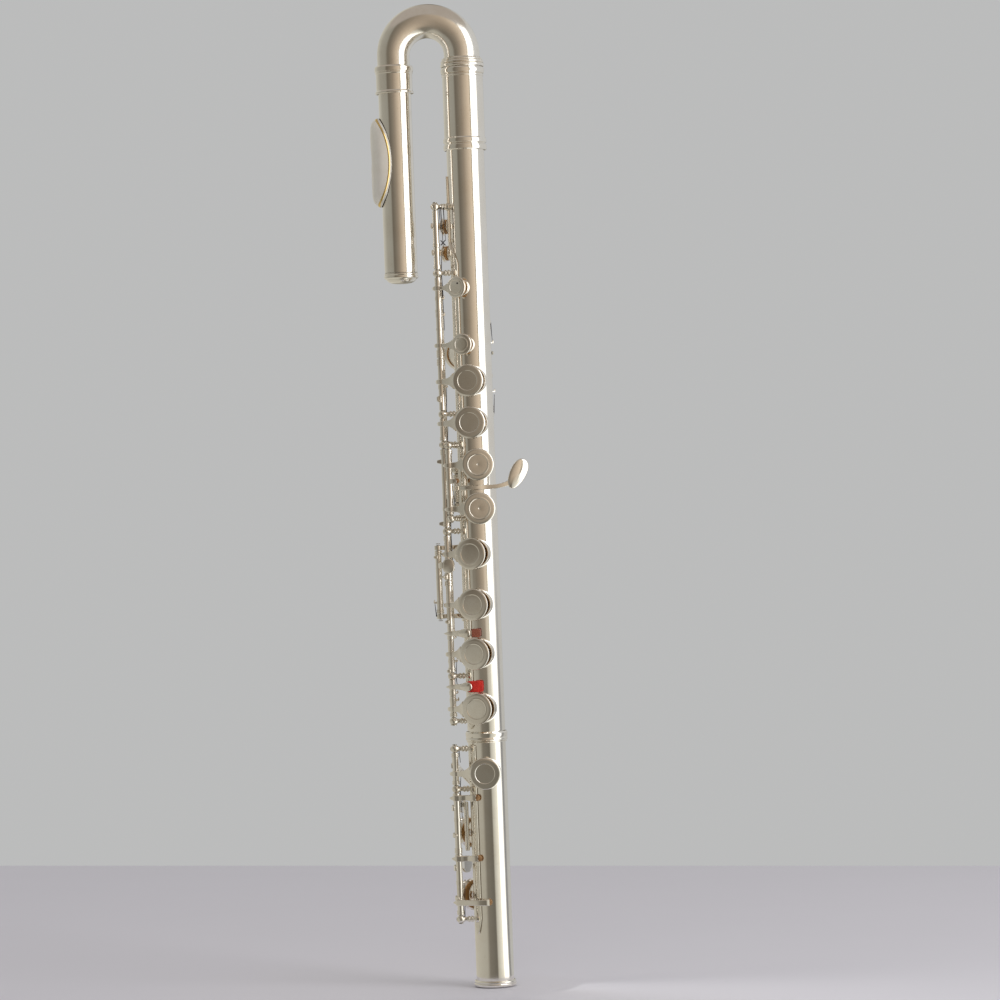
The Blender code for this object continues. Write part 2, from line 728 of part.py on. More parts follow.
def trill_keys():
    low_post, high_post = MAIN_POSTS[5], MAIN_POSTS[6]
    split = HOLE_Z["d_trill"] + 2.4 * MM
    d_link = Vector((-15.4 * MM, -1.0 * MM, 0))
    d_sharp_link = Vector((-17.2 * MM, 0.8 * MM, 0))
    d_low = (TRILL_TOUCH_Z["d_trill"] - 3.3 * MM, TRILL_TOUCH_Z["d_trill"] + 3.6 * MM)
    d_sharp_low = (MAIN_POSTS[0] + 13.4 * MM, MAIN_POSTS[1] - POST_CLEAR)
    trill_key(
        "d_sharp_trill_key",
        "d_sharp_trill_pad",
        "d_sharp_trill_felt",
        HOLE_Z["d_sharp_trill"],
        TRILL_TOUCH_Z["d_sharp_trill"],
        (split + END_PLAY, high_post - POST_CLEAR),
        d_sharp_low,
        d_sharp_link,
        HOLE_Z["d_sharp_trill"] - 6.3 * MM,
    )
    trill_key(
        "d_trill_key",
        "d_trill_pad",
        "d_trill_felt",
        HOLE_Z["d_trill"],
        TRILL_TOUCH_Z["d_trill"],
        (low_post + POST_CLEAR, split),
        d_low,
        d_link,
        HOLE_Z["d_trill"] - 6.2 * MM,
    )


def upper_stack():
    posts = MAIN_POSTS
    split = HOLE_Z["c"] - 7.0 * MM
    cup_key(
        "c_sharp_key",
        MAIN_ROD,
        -CUP_OPEN,
        (split + END_PLAY, posts[5] - POST_CLEAR),
        [
            ("c_sharp_pad", SMALL, C_SHARP_ANGLE, HOLE_Z["c_sharp"]),
            ("c_pad", SMALL, C_ANGLE, HOLE_Z["c"]),
        ],
    )
    b_flat = [("b_flat_pad", BIG, STACK_ANGLES["b_flat"], HOLE_Z["b_flat"])]
    cup_key("b_flat_key", MAIN_ROD, -CUP_OPEN, (posts[4] + POST_CLEAR, split), b_flat)
    a = [("a_pad", BIG, STACK_ANGLES["a"], HOLE_Z["a"])]
    cup_key("a_key", MAIN_ROD, -CUP_OPEN, between(posts[3], posts[4]), a)
    g = [
        ("g_upper_pad", BIG, G_ANGLE, HOLE_Z["g_upper"]),
        ("g_lower_pad", BIG, G_ANGLE, HOLE_Z["g_lower"]),
    ]
    cup_key("g_key", G_ROD, -CUP_OPEN, between(*G_POSTS), g)


def link_tube():
    """The hinge tube that carries the right hand's motion up to the B flat cup, with a lug at each end."""
    low, high = between(MAIN_POSTS[2], MAIN_POSTS[3])
    hinge = hinge_at("b_flat_link_hinge", MAIN_ROD, -CUP_OPEN)
    lugs = [spring_hook(MAIN_ROD, z, outward(100), 3.2 * MM) for z in (low + 2 * MM, high - 6.5 * MM)]
    key("b_flat_link", hinge, [(low, high)], lugs)


def lower_stack():
    posts = MAIN_POSTS
    touch = TRILL_TOUCH_Z["d_trill"]
    f_split = HOLE_Z["f_sharp"] - 14.0 * MM
    f_sharp_span = (f_split + END_PLAY, posts[2] - POST_CLEAR)
    f_span = (touch + 3.6 * MM + END_PLAY, f_split)
    e_span = (posts[1] + POST_CLEAR, touch - 3.3 * MM - END_PLAY)
    d_span = (posts[0] + POST_CLEAR, posts[0] + 13.4 * MM - END_PLAY)
    for note, span in (("f_sharp", f_sharp_span), ("f", f_span), ("e", e_span), ("d", d_span)):
        cup_key(note + "_key", MAIN_ROD, -CUP_OPEN, span, [(note + "_pad", BIG, STACK_ANGLES[note], HOLE_Z[note])])


def side_lever():
    """The right hand's B flat lever, on its own rod outside the main rod."""
    span = (SIDE_POSTS[0] + 1.5 * MM, SIDE_POSTS[1] - 1.5 * MM)
    hinge = hinge_at("side_lever_hinge", SIDE_ROD, 0)
    height = HOLE_Z["f_sharp"] - 5.7 * MM
    centre = Vector((-16.6 * MM, -9.9 * MM, height))
    start = SIDE_ROD + Vector((0, 0, height))
    bend = Vector((-20.4 * MM, -8.6 * MM, height))
    solids = [
        arm([start, bend, centre], [3.0 * MM, 3.0 * MM, 4.0 * MM], 1.2 * MM),
        oval(centre, Vector((0, 0, 3.9 * MM)), Vector((3.0 * MM, -0.8 * MM, 0)), Vector((0.26, 0.97, 0)), 1.2 * MM),
        spring_hook(SIDE_ROD, SIDE_POSTS[0] + 6 * MM, outward(90), 2.4 * MM),
    ]
    key("side_lever", hinge, [span], solids)


def thumb_touch(root_height, centre_angle, centre_height, long_half, short_half):
    """A thumb plate behind the tube, on an arm from the thumb rod."""
    level = 15.4 * MM
    start = THUMB_ROD + Vector((0, 0, root_height))
    bend = around((THUMB_ROD_ANGLE + centre_angle) / 2, 15.8 * MM, (root_height + centre_height) / 2)
    centre = around(centre_angle, level, centre_height)
    normal = outward(centre_angle)
    return [
        arm([start, bend, centre], [3.0 * MM, 4.0 * MM, 5.0 * MM], 1.3 * MM),
        oval(centre, Vector((0, 0, long_half)), forward(centre_angle) * short_half, normal, 1.2 * MM),
    ]


def thumb_keys():
    low, middle, high = THUMB_POSTS
    hinge = hinge_at("thumb_b_hinge", THUMB_ROD, -THUMB_OPEN)
    height = HOLE_Z["thumb"]
    solids = [cup_arm(BIG, THUMB_ANGLE, height, THUMB_ROD), cup_shell(BIG, THUMB_ANGLE, height)]
    solids += thumb_touch(middle + 4.5 * MM, 176.0, middle - 1.0 * MM, 6.0 * MM, 4.2 * MM)
    solids.append(spring_hook(THUMB_ROD, height + 6 * MM, outward(250), 2.6 * MM))
    add("thumb_pad", pad_disc(BIG, THUMB_ANGLE, height), PAD_SKIN, hinge)
    key("thumb_b_key", hinge, [between(middle, high)], solids)
    flat_hinge = hinge_at("thumb_b_flat_hinge", THUMB_ROD, 0)
    centre = (low + middle) / 2
    plate = thumb_touch(centre - 3.5 * MM, 176.0, centre - 5.5 * MM, 5.6 * MM, 4.2 * MM)
    plate.append(spring_hook(THUMB_ROD, centre + 4 * MM, outward(250), 2.6 * MM))
    key("thumb_b_flat_key", flat_hinge, [between(low, middle)], plate)


def g_sharp_key():
    """A cup behind the tube, opened by a long lever that crosses the front to a touch on the right."""
    posts = BACK_POSTS
    height = HOLE_Z["g_sharp"]
    hinge = hinge_at("g_sharp_hinge", BACK_ROD, 0)
    level = 14.0 * MM
    low_level = 13.3 * MM  # under the rods of the trill keys
    path = [BACK_ROD + Vector((0, 0, height))]
    path += [around(angle, low_level, height) for angle in (112, 90, 66)]
    path += [around(angle, level, height) for angle in (44, 22, 0, -20)]
    path.append(Vector((11.5 * MM, -13.2 * MM, height + 0.4 * MM)))
    path.append(Vector((17.5 * MM, -12.6 * MM, height + 2.2 * MM)))
    widths = [2.4 * MM] * 8 + [2.2 * MM, 2.8 * MM]
    tilt = math.radians(62)
    long_half = Vector((math.cos(tilt), 0.06, math.sin(tilt))) * 8.4 * MM
    short_half = Vector((math.sin(tilt), 0.05, -math.cos(tilt))) * 5.0 * MM
    normal = long_half.cross(short_half).normalized()
    centre = Vector((21.4 * MM, -12.4 * MM, height + 6.4 * MM))
    solids = [
        arm(path, widths, 1.5 * MM),
        oval(centre, long_half, short_half, normal, 1.3 * MM, 16, 0.25),
        cup_arm(BIG, G_SHARP_ANGLE, height, BACK_ROD),
        cup_shell(BIG, G_SHARP_ANGLE, height),
    ]
    add("g_sharp_pad", pad_disc(BIG, G_SHARP_ANGLE, height), PAD_SKIN, hinge)
    key("g_sharp_key", hinge, [between(posts[0], posts[1])], solids)


def foot_tube():
    """The foot's tube with its chimneys and the socket ring, and the end ring on its own."""
    low = FOOT_LENGTH - SOCKET_RING_HEIGHT
    inner = TUBE_RADIUS + SEAT
    wide = inner + SOCKET_RING_THICKNESS
    outer = [
        (0, 0),
        (TUBE_RADIUS, 0),
        (TUBE_RADIUS, low),
        (wide, low),
        (wide, low + 2.5 * MM),
        (wide - 0.4 * MM, low + 3.0 * MM),
        (wide, low + 3.5 * MM),
        (wide, FOOT_LENGTH),
        (0, FOOT_LENGTH),
    ]
    inside = rod(Vector(), TUBE_RADIUS - TUBE_WALL, -MM, FOOT_LENGTH + MM, TUBE_FACETS)
    holes = [
        (BIG, FOOT_D_SHARP_ANGLE, HOLE_Z["foot_d_sharp"]),
        (BIG, FOOT_BACK_ANGLE, HOLE_Z["foot_c_sharp"]),
        (BIG, FOOT_BACK_ANGLE, HOLE_Z["foot_c"]),
    ]
    tube_with_holes("foot_tube", turned(outer, TUBE_FACETS), inside, holes)
    ring = inner + FOOT_RING_THICKNESS
    end = [(ring, 0), (ring, FOOT_RING_HEIGHT), (inner, FOOT_RING_HEIGHT + 0.5 * MM), (inner, 0)]
    add("foot_end_ring", turned(end, 24), SILVER)


def foot_rib():
    low, high = FOOT_POSTS[0] - 3.0 * MM, FOOT_LENGTH - SOCKET_RING_HEIGHT - 1.5 * MM
    solids = [strap(RIB_ANGLES, low, high, 8.0 * MM, 0.8 * MM)]
    solids += [post(POST_FOOT_ANGLE, MAIN_ROD, z) for z in FOOT_POSTS]
    room = notch(BIG, FOOT_D_SHARP_ANGLE, HOLE_Z["foot_d_sharp"])
    add("foot_rib", joined(solids, rod_bore(MAIN_ROD, FOOT_POSTS) + [room]), SILVER)
    steel("foot_steel", MAIN_ROD, FOOT_POSTS[0], FOOT_POSTS[-1])


def back_touch(root_height, centre_angle, centre_height, long_half, short_half, level, taper=0.0):
    """A foot touch behind the tube, on an arm that passes the tube's left side."""
    start = MAIN_ROD + Vector((0, 0, root_height))
    bend = around(100.0, level + 1.0 * MM, root_height)
    swing = around(125.0, level + 0.6 * MM, (root_height + centre_height) / 2)
    centre = around(centre_angle, level, centre_height)
    normal = outward(centre_angle)
    return [
        arm([start, bend, swing, centre], [3.0 * MM, 3.0 * MM, 3.4 * MM, 4.0 * MM], 1.4 * MM),
        oval(centre, Vector((0, 0, long_half)), forward(centre_angle) * short_half, normal, 1.3 * MM, 14, taper),
    ]


def stop_tail(hinge, height, angle, reach_level):
    """An arm across the front-left of the tube that stops the open key there. Its end is set at rest."""
    close = Matrix.Rotation(-hinge.rotation_euler.z, 4, "Z")
    here = hinge.location
    points = [around(MAIN_ROD_ANGLE, ROD_DISTANCE, height)]
    points.append(around(angle + 26, reach_level + 3.2 * MM, height))
    points.append(around(angle, reach_level + 0.8 * MM, height))
    points = [here + close @ (point - here) for point in points]
    return arm(points, [3.2 * MM, 2.8 * MM, 3.6 * MM], 1.3 * MM)


def finger_bar(hinge, bottom, top):
    """The long round bar beside the hinge that carries the C sharp key's touch. Its place is set at rest."""
    close = Matrix.Rotation(-hinge.rotation_euler.z, 4, "Z")
    here = hinge.location
    centre = here + close @ (Vector((-12.1 * MM, -2.6 * MM, 0)) - here)
    root = Vector((0, 0, top - 1.4 * MM))
    return [rod(centre, 1.2 * MM, bottom, top, 10), arm([here + root, centre + root], [2.6 * MM, 2.4 * MM], 1.4 * MM)]


def foot_keys():
    posts = FOOT_POSTS
    hinge = hinge_at("foot_d_sharp_hinge", MAIN_ROD, 0)
    height = HOLE_Z["foot_d_sharp"]
    solids = [cup_arm(BIG, FOOT_D_SHARP_ANGLE, height, MAIN_ROD), cup_shell(BIG, FOOT_D_SHARP_ANGLE, height)]
    solids += back_touch(height + 4 * MM, 163.0, 104.0 * MM, 11.0 * MM, 4.6 * MM, 15.6 * MM, 0.3)
    solids.append(spring_hook(MAIN_ROD, height, outward(90)))
    add("foot_d_sharp_pad", pad_disc(BIG, FOOT_D_SHARP_ANGLE, height), PAD_SKIN, hinge)
    key("foot_d_sharp_key", hinge, [between(posts[1], posts[2])], solids)
    split = HOLE_Z["foot_c_sharp"] - 10.0 * MM
    spans = {"foot_c_sharp": (split + END_PLAY, posts[1] - POST_CLEAR), "foot_c": (posts[0] + POST_CLEAR, split)}
    for note, tail_height, tail_angle in (("foot_c_sharp", 99.6 * MM, 33.0), ("foot_c", 44.8 * MM, 8.0)):
        hinge = hinge_at(note + "_hinge", MAIN_ROD, CUP_OPEN)
        height = HOLE_Z[note]
        solids = [cup_arm(BIG, FOOT_BACK_ANGLE, height, MAIN_ROD), cup_shell(BIG, FOOT_BACK_ANGLE, height)]
        if note == "foot_c_sharp":
            solids += back_touch(94.0 * MM, 133.0, 94.0 * MM, 3.6 * MM, 3.4 * MM, 15.6 * MM)
            solids += finger_bar(hinge, split + 1.5 * MM, 97.2 * MM)
        else:
            solids += back_touch(62.5 * MM, 140.0, 63.0 * MM, 4.4 * MM, 4.6 * MM, 15.6 * MM)
            solids.append(stop_tail(hinge, split - 2.2 * MM, 33.0, TUBE_RADIUS + SEAT + 1.0 * MM))
        solids.append(stop_tail(hinge, tail_height, tail_angle, TUBE_RADIUS + SEAT + 1.0 * MM))
        solids.append(spring_hook(MAIN_ROD, height + 8 * MM, outward(60)))
        add(note + "_pad", pad_disc(BIG, FOOT_BACK_ANGLE, height), PAD_SKIN, hinge)
        key(note + "_key", hinge, [spans[note]], solids)


def crook():
    """The bent tube of the head: a slide for the barrel, a ferrule, the bend and a short left leg."""
    stations = [
        (Vector((0, 0, CROOK_BOTTOM)), 90, TUBE_RADIUS),
        (Vector((0, 0, BARREL_TOP + FERRULE_HEIGHT)), 90, TUBE_RADIUS),
        (Vector((0, 0, BARREL_TOP + FERRULE_HEIGHT + 0.3 * MM)), 90, BEND_START_RADIUS),
    ]
    centre = Vector((-BEND_RADIUS, 0, BEND_HEIGHT))
    steps = 9
    for i in range(steps + 1):
        turn = math.pi * i / steps
        place = centre + Vector((math.cos(turn), 0, math.sin(turn))) * BEND_RADIUS
        radius = BEND_START_RADIUS + (BEND_END_RADIUS - BEND_START_RADIUS) * i / steps
        stations.append((place, 90 + math.degrees(turn), radius))
    stations.append((HEAD_AXIS + Vector((0, 0, CROOK_END)), 270, BEND_END_RADIUS))
    outer = []
    inner = []
    facets = 18
    for place, heading, radius in stations:
        run = math.radians(heading)
        side = Vector((math.sin(run), 0, -math.cos(run)))
        for rings, r in ((outer, radius), (inner, radius - CROOK_WALL)):
            ring = []
            for k in range(facets):
                t = 2 * math.pi * k / facets
                ring.append(place + side * (r * math.cos(t)) + Vector((0, r * math.sin(t), 0)))
            rings.append(ring)
    tube = closed_mesh(outer + inner[::-1], close_rows=True)
    low = BARREL_TOP + END_PLAY
    high = BARREL_TOP + FERRULE_HEIGHT
    wide = TUBE_RADIUS + FERRULE_THICKNESS
    middle = (low + high) / 2
    inside = TUBE_RADIUS - 0.2 * MM
    ferrule = turned([(wide, low), (wide, middle), (wide - 0.4 * MM, high), (inside, high), (inside, low)], 20)
    add("crook", joined([tube, ferrule]), SILVER)


def sleeve():
    """The socket on the crook's left leg that the embouchure tube slides and turns in."""
    inside = HEAD_RADIUS + SEAT
    outside = inside + SLEEVE_WALL
    ringed = outside + SLEEVE_RING
    profile = [
        (ringed, SLEEVE_BOTTOM),
        (ringed, SLEEVE_BOTTOM + 1.3 * MM),
        (outside, SLEEVE_BOTTOM + 1.6 * MM),
        (outside, SLEEVE_TOP - 4.0 * MM),
        (ringed, SLEEVE_TOP - 3.6 * MM),
        (ringed, SLEEVE_TOP - 0.5 * MM),
        (outside, SLEEVE_TOP),
        (inside, SLEEVE_TOP),
        (inside, SLEEVE_BOTTOM),
    ]
    add("sleeve", turned(profile, 22, at(HEAD_AXIS)), SILVER)


def hole_outline(grow=0.0, count=24):
    """(y, z) round the embouchure hole, z from the hole's middle."""
    points = []
    for i in range(count):
        turn = 2 * math.pi * i / count
        points.append(((HOLE_HALF_WIDTH + grow) * math.cos(turn), (HOLE_HALF_LENGTH + grow) * math.sin(turn)))
    return points


def embouchure_tube():
    outside = rod(HEAD_AXIS, HEAD_RADIUS, HEAD_BOTTOM, HEAD_TOP, TUBE_FACETS)
    inside = rod(HEAD_AXIS, HEAD_RADIUS - HEAD_WALL, HEAD_BOTTOM - MM, HEAD_TOP + MM, TUBE_FACETS)
    rings = []
    for x in (-HEAD_RADIUS - 2 * MM, -4 * MM):
        ring = [HEAD_AXIS + Vector((x, y, HOLE_HEIGHT + z)) for y, z in hole_outline()]
        rings.append(ring)
    add("embouchure_tube", joined([outside], [inside, closed_mesh(rings)]), SILVER)


def lip_point(across, height, sink=0.0):
    """A point of the lip plate's face. across is measured along the skin, height from the plate's middle."""
    rim = HEAD_RADIUS + SEAT + LIP_EDGE
    share = min(1.0, (across / LIP_HALF_WRAP) ** 2 + (height / LIP_HALF_LENGTH) ** 2)
    radius = rim + LIP_CREST * (1 - share) ** 0.8
    turn = across / radius if share < 0.5 else across / (radius * 0.5 + 0.5 * rim + 0.25 * MM)
    low = max(HEAD_RADIUS + SEAT, radius - sink)
    return HEAD_AXIS + Vector((-low * math.cos(turn), low * math.sin(turn), LIP_HEIGHT + height))


def lip_plate():
    """The lip plate with the riser that joins it to the tube round the embouchure hole."""
    count = 24
    offset = HOLE_HEIGHT - LIP_HEIGHT
    outer = []
    inner = []
    shares = (0.0, 0.3, 0.6, 0.85, 1.0)
    for share in shares:
        face = []
        back = []
        for i in range(count):
            turn = 2 * math.pi * i / count
            hole = (HOLE_HALF_WIDTH * math.cos(turn), HOLE_HALF_LENGTH * math.sin(turn) + offset)
            edge = (LIP_HALF_WRAP * math.cos(turn), LIP_HALF_LENGTH * math.sin(turn))
            across = hole[0] + (edge[0] - hole[0]) * share
            height = hole[1] + (edge[1] - hole[1]) * share
            face.append(lip_point(across, height))
            back.append(lip_point(across, height, LIP_THICKNESS))
        outer.append(face)
        inner.append(back)
    foot = HEAD_RADIUS + SEAT
    walls = []
    for grow in (RISER_WALL, 0.0):
        ring = []
        for y, z in hole_outline(grow, count):
            reach = math.sqrt(max(foot**2 - y**2, 0))
            ring.append(HEAD_AXIS + Vector((-reach, y, HOLE_HEIGHT + z)))
        walls.append(ring)
    add("lip_plate", closed_mesh(outer + inner[:0:-1] + walls, close_rows=True), SILVER)


def stopper():
    """The crown, the screw that it turns on, with a plate at each face of the cork, and the cork."""
    top = HOLE_HEIGHT - STOPPER_FACE
    cork_top = top - PLATE_THICKNESS - SEAT
    cork_bottom = cork_top - CORK_LENGTH
    low_plate = cork_bottom - SEAT
    plate = HEAD_RADIUS - HEAD_WALL - SEAT
    thin = STOPPER_ROD_RADIUS
    crown_seat = HEAD_BOTTOM - SEAT
    screw_end = crown_seat + 1.5 * MM
    screw = [
        (0, screw_end),
        (thin, screw_end),
        (thin, low_plate - PLATE_THICKNESS),
        (plate, low_plate - PLATE_THICKNESS),
        (plate, low_plate),
        (thin, low_plate),
        (thin, cork_top + SEAT),
        (plate, cork_top + SEAT),
        (plate, top),
        (0, top),
    ]
    add("stopper_screw", turned(screw, 14, at(HEAD_AXIS)), SILVER)
    hole = thin + SEAT
    add("stopper_cork", pipe(plate, hole, cork_bottom, cork_top, 16, HEAD_AXIS), CORK)
    wide = HEAD_RADIUS + CROWN_RING
    inner = HEAD_RADIUS - HEAD_WALL - SEAT
    nut = thin + SEAT
    crown = [
        (0, CROWN_BOTTOM),
        (0.75 * wide, CROWN_BOTTOM + 0.7 * MM),
        (wide, CROWN_BOTTOM + 2.6 * MM),
        (wide, crown_seat),
        (inner, crown_seat),
        (inner, crown_seat + 5 * MM),
        (nut, crown_seat + 5 * MM),
        (nut, crown_seat + 1.0 * MM),
        (0, crown_seat + 1.0 * MM),
    ]
    add("crown", turned(crown, 22, at(HEAD_AXIS)), SILVER)


body_tube()
barrel()
main_rib()
back_ribs()
steels()
trill_keys()
upper_stack()
link_tube()
lower_stack()
side_lever()
thumb_keys()
g_sharp_key()
foot_tube()
foot_rib()
foot_keys()
crook()
sleeve()
embouchure_tube()
lip_plate()
stopper()
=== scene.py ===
import math
import bpy
import bmesh
from mathutils import Matrix, Vector


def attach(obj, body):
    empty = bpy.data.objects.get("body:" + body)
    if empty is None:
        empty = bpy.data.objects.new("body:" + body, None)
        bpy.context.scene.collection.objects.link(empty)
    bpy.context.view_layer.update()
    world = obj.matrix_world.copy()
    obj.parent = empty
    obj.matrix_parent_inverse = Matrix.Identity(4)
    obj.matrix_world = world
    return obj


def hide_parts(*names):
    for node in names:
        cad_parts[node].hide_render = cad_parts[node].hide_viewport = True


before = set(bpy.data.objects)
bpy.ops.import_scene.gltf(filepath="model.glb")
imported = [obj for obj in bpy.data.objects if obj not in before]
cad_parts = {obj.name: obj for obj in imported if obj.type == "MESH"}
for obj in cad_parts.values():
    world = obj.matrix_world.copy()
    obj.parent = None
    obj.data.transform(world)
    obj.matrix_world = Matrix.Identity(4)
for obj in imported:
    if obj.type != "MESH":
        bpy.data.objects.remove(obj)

# Lengths in this script are millimetres, but the studio and the camera are in metres.
# The flute stands on its foot, +Z up the main tube, and the head bends to -X.
# An angle round the tube counts from -Y, the side that faces the camera, and is positive towards -X.
mm = 0.001
up = Vector((0, 0, 1))
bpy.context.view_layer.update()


def outward(angle):
    turn = math.radians(angle)
    return Vector((-math.sin(turn), -math.cos(turn), 0))


def forward(angle):
    turn = math.radians(angle)
    return Vector((math.cos(turn), -math.sin(turn), 0))


def circle(count):
    return [2 * math.pi * k / count for k in range(count)]


def around(angle, distance, height=0.0):
    return outward(angle) * distance + up * height


def arc(height, *spots):
    # points at one height from (angle, distance) pairs
    return [around(angle, distance, height) for angle, distance in spots]


def facing(angle, height):
    # carries a shape turned about +Z onto the outward direction, its own x axis up the tube
    normal = outward(angle)
    return Matrix.Translation(up * height) @ Matrix((up, normal.cross(up), normal)).transposed().to_4x4()


def standing(point):
    return Matrix.Translation(point)


def along(start, direction, side=up):
    # carries +Z onto a direction from a start point
    run = direction.normalized()
    across = (side - run * run.dot(side)).normalized()
    return Matrix.Translation(start) @ Matrix((across, run.cross(across), run)).transposed().to_4x4()


# The frame's own places: rods, posts, tone holes
rods = {
    "main": around(70.5, 17.9),
    "g": around(53.6, 17.9),
    "back": around(129.2, 14.1),
    "thumb": around(215, 14.1),
    "side": Vector((-21.8, -4.2, 0)),
}
headAxis = Vector((-36, 0, 0))
bigHole = {"cup": 8.4, "hole": 6.8, "rim": 12.0, "wall": 0.5, "fillet": 1.5}
smallHole = {"cup": 5.7, "hole": 3.3, "rim": 11.6, "wall": 0.5, "fillet": 0.8}
trillHole = {"cup": 4.6, "hole": 3.1, "rim": 11.0, "wall": 0.5, "fillet": 0.7, "lift": 0.7}
bodyHoles = {
    "dSharpTrill": (trillHole, 111, 400), "dTrill": (trillHole, 111, 386),
    "cSharp": (smallHole, 25, 367), "c": (smallHole, 16.5, 337), "thumb": (bigHole, 148, 333),
    "bFlat": (bigHole, 6, 318), "a": (bigHole, 5, 296), "gUpper": (bigHole, -6, 274), "gLower": (bigHole, -6, 251),
    "gSharp": (bigHole, 182, 262), "fSharp": (bigHole, 13.5, 227.5), "f": (bigHole, 12.5, 200.9),
    "e": (bigHole, 13, 175.1), "d": (bigHole, 12, 146.4),
}
footHoles = {"dSharp": (bigHole, 5.7, 112.4), "cSharp": (bigHole, 150, 80), "c": (bigHole, 150, 47)}
mainPosts = [140, 163.6, 239.5, 285, 301, 375, 410]
gPosts = [246.2, 284.5]
backPosts = [252.5, 271.5]
thumbPosts = [300.5, 321, 349.5]
footPosts = [36, 104.3, 125.4]
openTurn = -9  # degrees that an open key of the body stands off its hole
near = Vector((1, 0.22, 0)).normalized()  # from the main rod towards the tube, where springs and hooks sit


# Mesh tools. A shell is (points, faces), and a piece is one or more shells.

def shellOf(rings, closeRows=False):
    count = len(rings[0])
    points = [Vector(p) for ring in rings for p in ring]
    rows = len(rings)
    faces = []
    for k in range(rows if closeRows else rows - 1):
        low, high = k * count, (k + 1) % rows * count
        for i in range(count):
            j = (i + 1) % count
            faces.append((low + i, low + j, high + j, high + i))
    if not closeRows:
        faces.append(tuple(reversed(range(count))))
        faces.append(tuple(range((rows - 1) * count, rows * count)))
    return points, faces


cornerRule = {"least": 0.004, "straight": 0.985}


def softened(profile, size, steps):
    # rounds the corners of a profile of (radius, height) points
    closed = profile[0][0] > 0 or profile[-1][0] > 0
    result = []
    count = len(profile)
    for i, here in enumerate(profile):
        if not closed and i in (0, count - 1):
            result.append(here)
            continue
        point = Vector(here)
        back, ahead = Vector(profile[i - 1]) - point, Vector(profile[(i + 1) % count]) - point
        reach = min(size, 0.45 * back.length, 0.45 * ahead.length)
        line = abs(back.normalized().dot(ahead.normalized()))
        if reach < cornerRule["least"] or line > cornerRule["straight"]:
            result.append((point.x, point.y))
            continue
        start, end = point + back.normalized() * reach, point + ahead.normalized() * reach
        for k in range(steps + 1):
            t = k / steps
            bend = start * (1 - t) ** 2 + point * 2 * t * (1 - t) + end * t ** 2
            result.append((max(bend.x, 0.0), bend.y))
    return result


def turned(profile, place=Matrix.Identity(4), segments=64, soft=0.12, steps=3):
    # a profile of (radius, height) points turned about +Z, with its corners rounded by soft
    line = softened(profile, soft, steps) if soft else profile
    closed = line[0][0] > 1e-6 or line[-1][0] > 1e-6
    points, columns, faces = [], [], []
    for radius, height in line:
        if radius < 1e-6:
            columns.append([len(points)])
            points.append(place @ Vector((0, 0, height)))
            continue
        first = len(points)
        for t in circle(segments):
            points.append(place @ Vector((radius * math.cos(t), radius * math.sin(t), height)))
        columns.append(list(range(first, first + segments)))
    pairs = list(zip(columns, columns[1:]))
    if closed:
        pairs.append((columns[-1], columns[0]))
    for low, high in pairs:
        for i in range(segments):
            j = (i + 1) % segments
            corners = (low[i % len(low)], low[j % len(low)], high[j % len(high)], high[i % len(high)])
            faces.append(tuple(dict.fromkeys(corners)))
    return points, faces


def drum(radius, low, high, place, segments, soft):
    return turned([(0, low), (radius, low), (radius, high), (0, high)], place, segments, soft)


def rounded(wide, thick, corner, steps=3):
    # (across, out) points round a rectangle with rounded corners
    r = min(corner, 0.95 * wide, 0.95 * thick)
    line = []
    for sx, sy, begin in ((1, 1, 0), (-1, 1, 90), (-1, -1, 180), (1, -1, 270)):
        for k in range(steps + 1):
            t = math.radians(begin + 90 * k / steps)
            line.append((sx * (wide - r) + r * math.cos(t), sy * (thick - r) + r * math.sin(t)))
    return line


def spline(values, steps):
    # Catmull-Rom through vectors or numbers
    result = []
    last = len(values) - 1
    for i in range(last):
        a, b, c, d = values[max(i - 1, 0)], values[i], values[i + 1], values[min(i + 2, last)]
        for k in range(steps):
            t = k / steps
            result.append((b * 2 + (c - a) * t + (a * 2 - b * 5 + c * 4 - d) * t * t
                + (b * 3 - a - c * 3 + d) * t ** 3) * 0.5)
    result.append(values[-1])
    return result


def armThrough(points, wides, thicks, steps=5, corner=0.4, crown=0.0):
    # a bar along a curve, its half widths as near to +Z as they can be and its ends drawn in
    path = spline([Vector(p) for p in points], steps)
    wide, thick = spline([float(w) for w in wides], steps), spline([float(t) for t in thicks], steps)
    rings = []
    last = len(path) - 1
    for i, point in enumerate(path):
        run = (path[min(i + 1, last)] - path[max(i - 1, 0)]).normalized()
        side = (up - run * run.dot(up)).normalized()
        out = run.cross(side)
        w, t = max(wide[i], 0.1), max(thick[i], 0.1)
        section = [(x, y + crown * t * (1 - (x / w) ** 2) * (1 if y > 0 else 0)) for x, y in rounded(w, t, corner)]
        ring = [point + side * x + out * y for x, y in section]
        ends = []
        if i in (0, last):
            sign = -1 if i == 0 else 1
            for share, shift in ((0.45, 0.34), (0.8, 0.2)):
                ends.append([point + run * (sign * shift * min(w, t)) + (p - point) * share for p in ring])
        if i == 0:
            rings += ends
        rings.append(ring)
        if i == last:
            rings += ends[::-1]
    return shellOf(rings)


def wire(points, radii, steps=5, segments=12):
    path, radius = spline([Vector(p) for p in points], steps), spline([float(r) for r in radii], steps)
    rings = []
    last = len(path) - 1
    side = None
    for i, point in enumerate(path):
        run = (path[min(i + 1, last)] - path[max(i - 1, 0)]).normalized()
        if side is None:
            side = run.orthogonal().normalized()
        side = (side - run * run.dot(side)).normalized()
        other = run.cross(side)
        rings.append([point + (side * math.cos(t) + other * math.sin(t)) * max(radius[i], 0.03)
                      for t in circle(segments)])
    return shellOf(rings)


